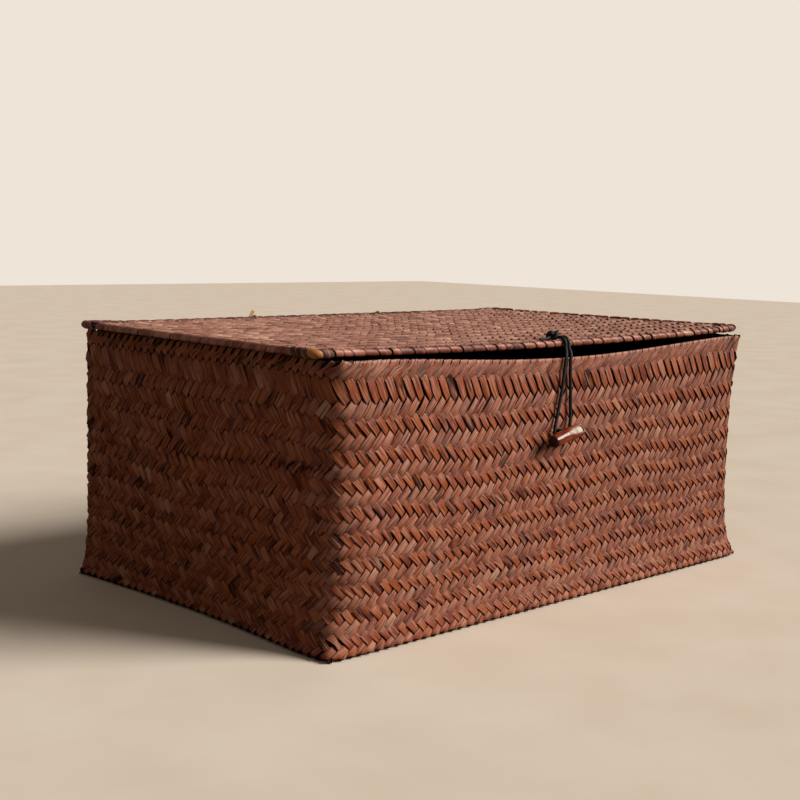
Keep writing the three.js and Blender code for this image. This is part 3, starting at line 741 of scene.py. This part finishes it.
lid_front = -0.1145
lid_back = 0.1171
lid_corners = [
    Vector((-0.1995, lid_front)),
    Vector((0.1985, lid_front)),
    Vector((0.1935, lid_back)),
    Vector((-0.1975, lid_back)),
]
lid_edges = []
for first, last in zip(lid_corners, lid_corners[1:] + lid_corners[:1]):
    lid_edges.append((first, (last - first).normalized()))
half_lid = 0.1965
hinge_line = 0.1147
cane_height = 0.1615
lid_sag = 0.0024
lid_curl = 0.0008
curl_power = 8
lid_step = 0.0075
lid_reach = 100
lid_lift = 0.0008
lid_tilt = 0.00038
lid_edge = 0.0020
side_walls = half_width - 0.003


def lid_sag_at(x, y):
    """How far the lid hangs down there. Its free ends curl up a little, least of all the nearest corner."""
    forward = np.clip((hinge_line - y) / (hinge_line - lid_front), 0, 1)
    curl = lid_curl * (x / half_lid) ** curl_power * (1 - 0.7 * np.where(x < 0, forward, 0))
    return lid_sag * np.maximum(0, 1 - (x / side_walls) ** 2) * forward - curl


def gap_inside(edge, x, y):
    """How far inside an edge of the lid a point lies."""
    start, way = edge
    return (x - start.x) * -way.y + (y - start.y) * way.x


def inside_lid(x, y, margin):
    """Which points lie inside all four edges of the lid by a margin."""
    return np.all([gap_inside(edge, x, y) > margin for edge in lid_edges], axis=0)


def turned_to_edge(x, y):
    """How far the first row of a strip must be turned to lie along the nearest edge of the lid."""
    way = Vector((x[1] - x[0], y[1] - y[0])).normalized()
    nearest = min(lid_edges, key=lambda edge: gap_inside(edge, x[0], y[0]))[1]
    return -nearest.dot(way) / (nearest.x * -way.y + nearest.y * way.x)


def lid_strip(number, runs_right, tone):
    """One strip of the panel, along a slanting line, cut where it meets the bound edge."""
    others = np.arange(-lid_reach, lid_reach + 1)
    rows = others - number if runs_right else number - others
    lifts, tones = in_floats(over_wall(rows, runs_right), lid_lift)
    steps = beside_crossings(2 * lid_reach) - lid_reach
    own = np.full_like(steps, number)
    left, right = (own, steps) if runs_right else (steps, own)
    x = (left + right) * lid_step / 2
    y = (right - left) * lid_step / 2
    x = x + 0.0011 * np.sin(41 * y + 1.3) + 0.0004 * np.sin(130 * y)
    y = y + 0.0012 * np.sin(33 * x + 0.4) + 0.0005 * np.sin(120 * x + 2)
    kept = np.flatnonzero(inside_lid(x, y, lid_edge))
    if len(kept) < 4:
        return None
    kept = slice(kept[0], kept[-1] + 1)
    x, y, lifts, tones = x[kept], y[kept], lifts[kept], tones[kept]
    rows = np.arange(len(x))
    skews = turned_to_edge(x, y) * np.clip(1 - rows / 4, 0, 1)
    skews = skews + turned_to_edge(x[::-1], y[::-1]) * np.clip(1 - rows[::-1] / 4, 0, 1)
    wander = 0.00028 * np.sin(23 * x + 1) * np.sin(37 * y + 2)
    slack = np.convolve(random.standard_normal(len(x)), [0.3, 0.6, 0.3], "same")
    z = cane_height - lid_sag_at(x, y) + wander
    lifts = lifts * (1 + 0.1 * random.standard_normal())
    upward = np.tile([0.0, 0.0, 1.0], (len(x), 1))
    full = lid_step / math.sqrt(2)
    wide = full * (0.94 + 0.03 * random.standard_normal() + 0.08 * slack)
    wide = np.minimum(wide, full * 1.04) * (1 + 0.08 * np.clip(-lifts / lid_lift, 0, 1))
    drift = 0.06 * np.sin(np.arange(len(x)) / random.uniform(8, 25) + random.uniform(0, 6.28))
    return strip_grid(
        np.stack([x, y, z + lifts], -1),
        upward,
        lifts,
        wide,
        tone + 2.0 * tones + drift,
        lid_tilt,
        skews,
        painted_light_and_dust=0.3,
    )


# The lid's stops are paler than the walls': partly the lid's own colour, partly painted light on its lit
# top.
lid_lit_stops = ((0.0, "#64352a"), (0.25, "#925d4b"), (0.5, "#b07763"), (0.75, "#c48d77"), (1.0, "#d3a487"))
lid_look = rush(lid_lit_stops, "#2c120c", fibre_depth=0.4, edge_dark=0.4, split_dark=0.4)
lid_rush = finish_named("lid_rush", lid_look, Specular_IOR_Level=0.5)
for family, runs_right in (("right", True), ("left", False)):
    numbers = range(-50, 51)
    grids = [lid_strip(number, runs_right, tone) for number, tone in zip(numbers, strip_tones(len(numbers)))]
    kept = [grid for grid in grids if grid]
    piece = strips_piece(f"lid_strips_{family}", kept, lid_rush, strip_thickness)
    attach(piece, "lid")
    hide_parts("lid_panel")

# Lid edge
# A cane is bent round the panel and bound to it with a flat strip, wound so that each turn laps the
# last. Separate short wraps cover the four corners, and the nearest one is of undyed, ochre rush.

cane_bend = 0.003
bend_steps = 12
side_steps = 120
side_points = bend_steps + side_steps
cane_radius = 0.0012

# How the strip is wound: its size, its pitch on the sides and at the corners, and where the wraps begin.
binding_radius = 0.00155
binding_half = 0.0024
binding_thickness = 0.0005
binding_lap = 0.000315
binding_crown = 0.0003
binding_turn = 0.0090
corner_turn = 0.0085
near_turn = 0.0070
turn_spread = 0.16
corner_run = 0.0125
near_run = 0.0115
near_slit = 0.0014
wrap_reach = 0.0004
wind_steps = 14

# The lift that tells the material a strip lies in the open.
on_top = 0.0008


def cane_line():
    """The cane's middle line, anticlockwise from the left end of the front edge, and each bend's run."""
    points, bends = [], []
    for index, corner in enumerate(lid_corners):
        into, out = lid_edges[index - 1][1], lid_edges[index][1]
        turn = into.angle(out)
        inner = corner + (out - into) * (binding_half / math.sin(turn))
        inward = Vector((-into.y, into.x))
        centre = inner - into * cane_bend * math.tan(turn / 2) + inward * cane_bend
        bend = []
        for step in range(bend_steps + 1):
            angle = turn * step / bend_steps
            bend.append(centre + (into * math.sin(angle) - inward * math.cos(angle)) * cane_bend)
        bends.append(bend)
    for index, bend in enumerate(bends):
        after = bends[(index + 1) % 4][0]
        points += bend + [bend[-1].lerp(after, step / side_steps) for step in range(1, side_steps)]
    points = np.array([tuple(point) for point in points + points[:side_points]])
    x, y = points[:, 0], points[:, 1]
    line = np.stack([x, y, cane_height - lid_sag_at(x, y)], -1)
    runs = runs_along(line)
    stations = [(runs[side_points * index], runs[side_points * index + bend_steps]) for index in range(4)]
    return line, runs, stations + [(runs[side_points * 4], runs[side_points * 4])]


cane_points, cane_runs, bend_runs = cane_line()


def along_cane(run):
    """A point of the cane's middle line and the way out of the lid."""
    point, ahead = (
        np.stack([np.interp(run + more, cane_runs, cane_points[:, axis]) for axis in range(3)], -1)
        for more in (0, 0.0004)
    )
    return point, unit(np.cross(unit(ahead - point), [0.0, 0.0, 1.0]))


def wound_strip(start, end, turn_run, handed, first_tone, radius=binding_radius, turn_tones=None):
    """A flat strip wound round the cane between two runs, each turn lapping the one before."""
    turns = max(1, round((end - start) / turn_run))
    marks = np.arange(turns + 1)
    turned = turns * np.linspace(0, 1, wind_steps * turns + 1)
    widths = np.clip(1 + turn_spread * random.standard_normal(turns + 1), 0.74, 1.04)
    lengths = np.clip(1 + turn_spread * random.standard_normal(turns), 0.6, 1.5)
    lengths = lengths * np.clip(0.6 + 0.1 * np.minimum(marks[:-1], marks[-2::-1]), 0, 1)
    passed = np.interp(turned, marks, np.append(0, np.cumsum(lengths)) / lengths.sum())
    here = np.append(lengths, lengths[-1]) * (end - start) / lengths.sum()
    wide = np.interp(turned, marks, here * widths)
    shifts = 0.17 * random.standard_normal(turns + 1) if turn_tones is None else np.array(turn_tones)
    tone = first_tone + np.interp(turned, np.linspace(0, turns, len(shifts)), shifts)
    angle = (2 * math.pi * handed * turned)[:, None]
    rows = []
    for share in (0, 0.14, 0.38, 0.62, 0.86, 1):
        point, out = along_cane(start + (end - start) * passed + (share - 0.5) * wide)
        reach = radius + binding_crown * (1 - (2 * share - 1) ** 2) + binding_lap * (1 - share)
        rows.append(point + reach * (np.cos(angle) * np.array([0.0, 0.0, 1.0]) + np.sin(angle) * out))
    return {"points": np.stack(rows, 1), "tone": tone, "lift": np.full(len(tone), on_top)}


binding_stops = ((0.0, "#38150e"), (0.3, "#6c2f20"), (0.55, "#93492f"), (0.8, "#b3705a"), (1.0, "#cf9c84"))
binding_look = rush(binding_stops, "#2c0d07", fibre_depth=0.55, edge_dark=0.75, split_dark=0.4, gloss=0.25)
binding_rush = finish_named("binding_strip", binding_look, Specular_IOR_Level=0.5)
ochre_stops = ((0.0, "#3a1a12"), (0.35, "#6a3420"), (0.7, "#9c5826"), (1.0, "#bd7a35"))
ochre_look = rush(ochre_stops, body_shade_colour, fibre_depth=0.6, edge_dark=0.75, split_dark=0.85)
ochre_rush = finish_named("ochre_strip", ochre_look, Specular_IOR_Level=0.5)

# Each side's tone paints the light on it: the back edge is darkened as painted shade and the left one paled
# as painted light.
side_light_tones = {"front": 0.54, "right": 0.5, "back": 0.05, "left": 0.6}
for index, (side, tone) in enumerate(side_light_tones.items()):
    start = bend_runs[index][1] + (corner_run if index else near_run)
    end = bend_runs[index + 1][0] - corner_run
    handed = -1 if side == "left" else 1
    strip = wound_strip(start, end, binding_turn, handed, tone)
    piece = strips_piece(f"binding_{side}", [strip], binding_rush, binding_thickness)
    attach(piece, "lid")
    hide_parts(f"lid_binding_{side}")

near_shifts = (-0.5, -0.48, -0.45, -0.3, 0.28, 0.28, -0.3, -0.42, -0.45)
bend_runs[0] = (bend_runs[4][0], bend_runs[4][0] + bend_runs[0][1])
for index, corner in enumerate(("front_left", "front_right", "back_right", "back_left")):
    near = index == 0
    strip = wound_strip(
        bend_runs[index][0] - corner_run,
        bend_runs[index][1] + (near_run - near_slit if near else corner_run),
        near_turn if near else corner_turn,
        1,
        0.6 if near else 0.42,
        binding_radius + wrap_reach,
        near_shifts if near else None,
    )
    piece = strips_piece(f"corner_wrap_{corner}_strip", [strip], ochre_rush if near else binding_rush,
                         binding_thickness)
    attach(piece, "lid")
    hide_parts(f"corner_wrap_{corner}")


def round_strand(way, radius, sides=10, flat=1.0, twist=0.0):
    """A round or flattened strand along a smooth line, with its radius at each point."""
    ahead = unit(np.gradient(way, axis=0))
    across = np.zeros_like(way)
    start = np.array([0.0, 0.0, 1.0]) if abs(ahead[0, 2]) < 0.8 else np.array([1.0, 0.0, 0.0])
    for row, way_there in enumerate(ahead):
        start = unit(start - way_there * start.dot(way_there))
        across[row] = start
    other = np.cross(ahead, across)
    angle = np.linspace(0, 2 * math.pi, sides + 1)[None, :, None]
    width, depth = np.cos(angle), flat * np.sin(angle)
    turned = np.arange(len(way))[:, None, None] * twist
    turn_cos, turn_sin = np.cos(turned), np.sin(turned)
    spread = (width * turn_cos - depth * turn_sin) * across[:, None]
    spread = spread + (width * turn_sin + depth * turn_cos) * other[:, None]
    points = way[:, None] + np.broadcast_to(radius, len(way))[:, None, None] * spread
    return {"points": points, "tone": np.full(len(way), 0.5), "lift": np.full(len(way), on_top)}


def cane_painted_shade(start):
    """Smooth cane made dark as painted shade, for it shows only in the slits between the turns of the
    binding.
    """
    grain = start.add("TexCoord", out=3).noise(300.0, 2.0)
    return {"Base Color": grain.ramp((0.3, "#2c130b"), (0.7, "#45200f"))}


# The cane's two ends meet in the middle of the back edge.
back_middle = 2 * side_points + bend_steps + 58
ring = np.roll(cane_points[:4 * side_points], -back_middle, axis=0)
cane = finish_named("cane", cane_painted_shade, Roughness=0.4)
rod = strips_piece("lid_cane_rod", [round_strand(ring, cane_radius)], cane, closed=True)
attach(rod, "lid")
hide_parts("lid_cane")

# Hinge ties
# Two strands of undyed straw stand in for hinges. Each goes through the back wall and round the bound
# cane, and is knotted behind the rim with its cut end left standing up.

tie_width = 0.0018
tie_from_middle = 0.0593
tie_hole_height = 0.1498
tie_knot_width = 0.0044
tie_knot_y = 0.1233
tie_knot_z = 0.1590
tie_inner_y = 0.1158
tie_ring = 0.00275
tie_tails = (0.0080, 0.0030)


def smooth_way(route, span_steps):
    """Points close together on a smooth line through the route's own."""
    route = np.array(route, float)
    before = np.concatenate([[2 * route[0] - route[1]], route[:-2]])
    first, last = route[:-1], route[1:]
    after = np.concatenate([route[2:], [2 * route[-1] - route[-2]]])
    share = np.arange(span_steps)[:, None, None] / span_steps
    curved = 3 * (first - last) + after - before
    bent = last - before + share * (2 * before - 5 * first + 4 * last - after + share * curved)
    bend = first + 0.5 * share * bent
    return np.concatenate([bend.swapaxes(0, 1).reshape(-1, 3), route[-1:]])


straw_stops = ((0.0, "#8a6128"), (0.5, "#cf9c4c"), (1.0, "#e6c27c"))
straw_look = rush(straw_stops, "#4a3010", fibre_depth=0.3, edge_dark=0.1, split_dark=0.3)
straw = finish_named("straw_tie", straw_look, Specular_IOR_Level=0.5)
for name, side, tail in (("left", -1, tie_tails[0]), ("right", 1, tie_tails[1])):
    x = side * tie_from_middle
    ring = [
        (hinge_line + tie_ring * math.cos(turn), cane_height + tie_ring * math.sin(turn))
        for turn in np.radians([180, 135, 90, 50])
    ]
    route = [
        (tie_knot_y, tie_knot_z - tie_knot_width / 2),
        (tie_knot_y + 0.0003, tie_hole_height + 0.0018),
        (0.1203, tie_hole_height),
        (tie_inner_y, tie_hole_height + 0.0009),
        ((tie_inner_y + hinge_line - tie_ring) / 2, (tie_hole_height + cane_height) / 2),
        *ring,
        (tie_knot_y - tie_knot_width / 2, tie_knot_z + 0.0009),
    ]
    way = smooth_way([(x, y, z) for y, z in route], 6)
    strand = round_strand(way, tie_width / 2, 8, 0.4, 0.06)
    piece = strips_piece(f"straw_tie_{name}", [strand], straw, closed=True)
    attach(piece, "basket")
    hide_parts(f"hinge_tie_{name}")

    turns = np.linspace(0, 2 * math.pi, 49)
    loop = np.stack([
        x + 0.00052 * (np.sin(turns) + 2 * np.sin(2 * turns)),
        tie_knot_y + 0.0009 * np.sin(3 * turns),
        tie_knot_z + 0.00052 * (np.cos(turns) - 2 * np.cos(2 * turns)),
    ], -1)
    up = smooth_way([
        (x + 0.0006, tie_knot_y, tie_knot_z),
        (x + 0.0032, tie_knot_y + 0.0001, tie_knot_z + tail / 2),
        (x + 0.0062, tie_knot_y + 0.0004, tie_knot_z + tail),
    ], 6)
    widening = np.linspace(0.0009, 0.0014, len(up))
    knot = [round_strand(loop, 0.00078, 8, 0.75), round_strand(up, widening, 8, 0.45)]
    piece = strips_piece(f"straw_knot_{name}", knot, straw, closed=True)
    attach(piece, "basket")
    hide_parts(f"hinge_knot_{name}")

# Closing cord
# One length of thin black elastic cord, doubled. Its knot is stitched down on the lid, and the doubled
# part goes over the bound edge and hangs in a loop that is caught behind the toggle.

cord_width = 0.0021
left_root = [
    (0.0033, -0.1078, 0.1624), (0.0026, -0.1096, 0.1626), (0.0012, -0.1116, 0.1628),
    (0.0010, -0.1133, 0.1624), (0.0009, -0.1147, 0.1613), (0.0008, -0.1155, 0.1599),
    (0.0008, -0.1157, 0.1589),
]
hanging_loop = [
    (0.0004, -0.1162, 0.1564), (-0.0006, -0.1176, 0.1544), (-0.0021, -0.1189, 0.1522),
    (-0.0031, -0.1193, 0.1494), (-0.0039, -0.1195, 0.1450), (-0.0053, -0.1198, 0.1375),
    (-0.0070, -0.1201, 0.1300), (-0.0092, -0.1204, 0.1220), (-0.0116, -0.1208, 0.1140),
    (-0.0135, -0.1213, 0.1084), (-0.0139, -0.1214, 0.1059), (-0.0129, -0.1214, 0.1038),
    (-0.0105, -0.1214, 0.1029), (-0.0076, -0.1214, 0.1032), (-0.0046, -0.1214, 0.1039),
    (-0.0016, -0.1214, 0.1052), (0.0003, -0.1214, 0.1075), (0.0009, -0.1213, 0.1106),
    (0.0017, -0.1208, 0.1156), (0.0018, -0.1204, 0.1220), (0.0017, -0.1201, 0.1300),
    (0.0015, -0.1198, 0.1375), (0.0014, -0.1195, 0.1450), (0.0017, -0.1193, 0.1494),
    (0.0025, -0.1189, 0.1522), (0.0032, -0.1176, 0.1544), (0.0036, -0.1162, 0.1564),
]
right_root = [
    (0.0038, -0.1157, 0.1589), (0.0038, -0.1156, 0.1598), (0.0038, -0.1149, 0.1611),
    (0.0040, -0.1136, 0.1623), (0.0043, -0.1120, 0.1628), (0.0047, -0.1102, 0.1626),
    (0.0052, -0.1078, 0.1624), (0.0037, -0.1060, 0.1623),
]


def cord_cover(start):
    """Black braided cover: two crossing sets of fine yarns."""
    place = start.add("UVMap", {"uv_map": "strip"})
    around = start.add("SeparateXYZ", {}, {0: place}) * 37.7
    along = start.add("SeparateXYZ", {}, {0: place}, out=1) * 19.0
    yarns = start.math("SINE", around + along) * start.math("SINE", around - along)
    level = (0.5 + yarns * 0.25 + 0.3 * (place.noise(6.0, 2.0) - 0.5)).clamped()
    black = level.ramp((0.3, "#070809"), (0.75, "#181b1e"))
    return {"Base Color": black, "Normal": yarns.bump(0.5, 0.00015)}


black_cord = finish_named("black_cord", cord_cover, Roughness=0.55, Specular_IOR_Level=0.3)


def cord_piece(name, strands, body, *nodes):
    """One piece of the black cord. The loop's is given no body here."""
    piece = strips_piece(name, strands, black_cord, closed=True)
    if body:
        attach(piece, body)
    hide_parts(*nodes)
    return piece


def knot_strand(centre, width, height, radius):
    """A thumb knot pulled tight: one strand that passes over and under itself."""
    turns = np.linspace(0, 2 * math.pi, 73)
    reach = (width / 2 - radius) / 3
    rise = height / 2 - radius
    middle = np.array(centre)
    loop = np.stack([
        reach * (np.sin(turns) + 2 * np.sin(2 * turns)),
        reach * (np.cos(turns) - 2 * np.cos(2 * turns)),
        -rise * np.sin(3 * turns),
    ], -1)
    return round_strand(middle + loop, radius, 10)


knot_place = (0.0010, -0.1050, 0.1634)
lid_knot = cord_piece("cord_knot", [knot_strand(knot_place, 0.0086, 0.0062, 0.0015)], "lid", "loop_knot")
tail_way = smooth_way([
    (-0.0030, -0.1056, 0.1624), (-0.0047, -0.1063, 0.1620), (-0.0074, -0.1062, 0.1616),
    (-0.0104, -0.1064, 0.1616), (-0.0138, -0.1068, 0.1618),
], 5)
tail_radius = np.full(len(tail_way), cord_width / 2)
tail_radius[-4:] *= (0.95, 0.85, 0.7, 0.45)
tail = cord_piece("cord_cut_end", [round_strand(tail_way, tail_radius)], "lid", "loop_tail")

cord_way = smooth_way(left_root + hanging_loop + right_root, 4)
loop_cord = cord_piece("cord_loop_strand", [round_strand(cord_way, cord_width / 2, 12)], None,
                       "cord_loop", "loop_root_left", "loop_root_right")
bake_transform(loop_cord)

# The stitch that holds the knot down, and the short tie of the toggle with its stop knot: the same cord.
stitch = smooth_way([(-0.0005, -0.1049, height) for height in (0.1601, 0.1587, 0.1573)], 3)
cord_piece("stitch_strand", [round_strand(stitch, cord_width / 2)], "lid", "loop_stitch")
low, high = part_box("loop_stitch_knot")
knot = knot_strand(tuple((low + high) / 2), 0.0042, 0.0042, 0.0008)
cord_piece("stitch_knot", [knot], "lid", "loop_stitch_knot")
low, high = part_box("toggle_tie")
middle = (low + high) / 2
tie = smooth_way([(middle.x, y, middle.z) for y in (low.y, middle.y, high.y)], 4)
cord_piece("toggle_tie_strand", [round_strand(tie, cord_width / 2)], "basket", "toggle_tie")
low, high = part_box("toggle_stop_knot")
knot = knot_strand(tuple((low + high) / 2), 0.0056, 0.0040, 0.0009)
cord_piece("toggle_tie_knot", [knot], "basket", "toggle_stop_knot")

# Toggle
# A short peg cut from a dark twig and polished. One end is cut on a slant, so that the pale wood shows
# inside a rim of bark. Its tie runs in from behind; the bore for it is not modelled.

toggle_length = 0.028
toggle_radius = 0.004
toggle_tilt = math.radians(12)
toggle_place = Vector((-0.0092, -0.12744, 0.1048))
face_start = 0.0002
face_depth = 0.0014
face_turn = math.radians(32)
end_shade_run = 0.0026


def bark(start):
    """Polished dark bark: long grain, a few darker patches, a clear gloss and painted shade on its left end.
    """
    place = start.add("TexCoord", out=3)
    turned = start.add("Mapping", {}, {"Vector": place, "Rotation": (0.0, toggle_tilt, 0.0)})
    stretched = start.add("Mapping", {}, {"Vector": turned, "Scale": (60.0, 420.0, 420.0)})
    grain = stretched.noise(1.0, 4.0)
    level = (0.62 * grain + 0.5 * place.noise(160.0, 1.0) - 0.08).clamped()
    dyed = level.ramp((0.25, "#3f1508"), (0.48, "#6f2a12"), (0.62, "#8a3b19"), (0.8, "#9f572f"))
    along_peg = start.add("SeparateXYZ", {}, {0: turned})
    middle = toggle_place.x * math.cos(toggle_tilt) + toggle_place.z * math.sin(toggle_tilt)
    # Painted shade: the left end is darkened towards black.
    painted_end_shade = ((middle - toggle_length / 2 + end_shade_run - along_peg) * 600.0).clamped() * 0.9
    dyed = dyed.mixed(colour("#160a06"), painted_end_shade)
    return {"Base Color": dyed, "Roughness": 0.16 + 0.14 * grain, "Normal": grain.bump(0.25, 0.0002)}


def cut_wood(start):
    """Pale sawn wood: rings seen on the slant."""
    grain = start.add("TexCoord", out=3).noise(420.0, 3.0)
    pale = grain.ramp((0.34, "#5a432b"), (0.5, "#94805d"), (0.66, "#beb08f"))
    return {"Base Color": pale, "Roughness": 0.35 + 0.2 * grain, "Normal": grain.bump(0.4, 0.0002)}


half = toggle_length / 2


def rounded_end(side, amount):
    """Places along the peg and radii there, from the flat of one end out to the full width."""
    turns = np.linspace(0, math.pi / 2, 7)
    places = side * (half - amount * (1 - np.cos(turns)))
    return np.stack([places, toggle_radius - amount * (1 - np.sin(turns))], -1)


middle = np.stack([np.linspace(-0.0105, 0.0095, 16), np.full(16, toggle_radius)], -1)
stations = np.concatenate([rounded_end(-1, 0.0016), middle, rounded_end(1, 0.0028)[::-1]])
x, radii = stations[:, 0], stations[:, 1]
radii = radii * (1 + 0.03 * np.sin(220 * x + 0.6)) + 0.0002 * hump(x + 0.009, 0.002)
way = np.stack([x, np.zeros_like(x), 0.0003 * np.cos(136 * x)], -1)
toggle_wood = finish_named("toggle_wood", bark, Specular_IOR_Level=0.2, Coat_Weight=0.25,
                           Coat_Roughness=0.05)
toggle = strips_piece("toggle_peg", [round_strand(way, radii, 32)], toggle_wood, closed=True)
toggle.data.materials.append(finish_named("toggle_cut", cut_wood, Specular_IOR_Level=0.5))

slant = math.atan2(face_depth, half - face_start)
face_out = Vector((0.0, -math.cos(face_turn), math.sin(face_turn)))
face_normal = Vector((math.sin(slant), 0.0, 0.0)) + math.cos(slant) * face_out
face_point = Vector((face_start, 0.0, 0.0)) + toggle_radius * face_out
made = bmesh.new()
made.from_mesh(toggle.data)
everything = made.verts[:] + made.edges[:] + made.faces[:]
bmesh.ops.bisect_plane(made, geom=everything, dist=1e-6, plane_co=face_point, plane_no=face_normal,
                       clear_outer=True)
rim_points = {point for edge in made.edges if edge.is_boundary for point in edge.verts}
bmesh.ops.remove_doubles(made, verts=list(rim_points), dist=0.0004)
opened = [edge for edge in made.edges if edge.is_boundary]
face = bmesh.ops.holes_fill(made, edges=opened)["faces"]
edge = bmesh.ops.inset_region(made, faces=face, thickness=0.0006, depth=0.0, use_even_offset=False)["faces"]
bmesh.ops.inset_region(made, faces=face, thickness=0.0003, depth=-0.0007, use_even_offset=False)
for flat in face + edge:
    flat.smooth = False
for pale in face:
    pale.material_index = 1
tilt = Matrix.Translation(toggle_place) @ Matrix.Rotation(-toggle_tilt, 4, "Y")
bmesh.ops.transform(made, matrix=tilt, verts=made.verts)
made.to_mesh(toggle.data)
made.free()
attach(toggle, "toggle")
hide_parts("toggle")

# Studio
# A pale floor, one broad soft lamp from the right and in front, and a dim even sky.

floor_mesh = bpy.data.meshes.new("floor")
made = bmesh.new()
bmesh.ops.create_grid(made, x_segments=1, y_segments=1, size=4.0)
made.to_mesh(floor_mesh)
made.free()
floor = put_in_scene("floor", floor_mesh)


def pale_floor(start):
    """A pale matt table. It throws little of its own light back at the box."""
    grain = start.add("TexCoord", out=3).noise(14.0, 3.0)
    pale = grain.ramp((0.3, "#d9c9b6"), (0.7, "#dfd1c0"))
    dim = pale.mixed(colour("#000000"), 0.7)
    return {"Base Color": dim.mixed(pale, start.add("LightPath"))}


floor_mesh.materials.append(finish_named("pale_floor", pale_floor, Roughness=0.9, Specular_IOR_Level=0.1))

lamp_data = bpy.data.lights.new("window", "SUN")
lamp_data.energy = 4.3
lamp_data.angle = math.radians(30)
lamp_data.color = (1.0, 0.97, 0.93)
lamp = put_in_scene("window", lamp_data)
lamp.rotation_mode = "QUATERNION"
lamp.rotation_quaternion = Vector((0.58, -0.62, 0.56)).to_track_quat("Z", "Y")

world = bpy.data.worlds.new("pale_room")
world.use_nodes = True
world_tree = world.node_tree
sky = world_tree.nodes["Background"]
sky.inputs["Color"].default_value = colour("#efe4d8")
seen = Shade(world_tree).add("LightPath")
world_tree.links.new((0.19 + 0.81 * seen).socket, sky.inputs["Strength"])
bpy.context.scene.world = world

camera_place = Vector((-0.6309, -0.6194, 0.2225))
camera_azimuth = math.radians(-44.30)
camera_pitch = math.radians(7.13)
camera_roll = math.radians(1.30)
camera_data = bpy.data.cameras.new("camera")
camera_data.sensor_width = 36
camera_data.lens = 59.26
camera = put_in_scene("camera", camera_data)
turns = Matrix.Rotation(camera_azimuth, 4, "Z") @ Matrix.Rotation(math.pi / 2 - camera_pitch, 4, "X")
camera.matrix_world = Matrix.Translation(camera_place) @ turns @ Matrix.Rotation(camera_roll, 4, "Z")
bpy.context.scene.camera = camera
bpy.context.scene.view_settings.view_transform = "Standard"
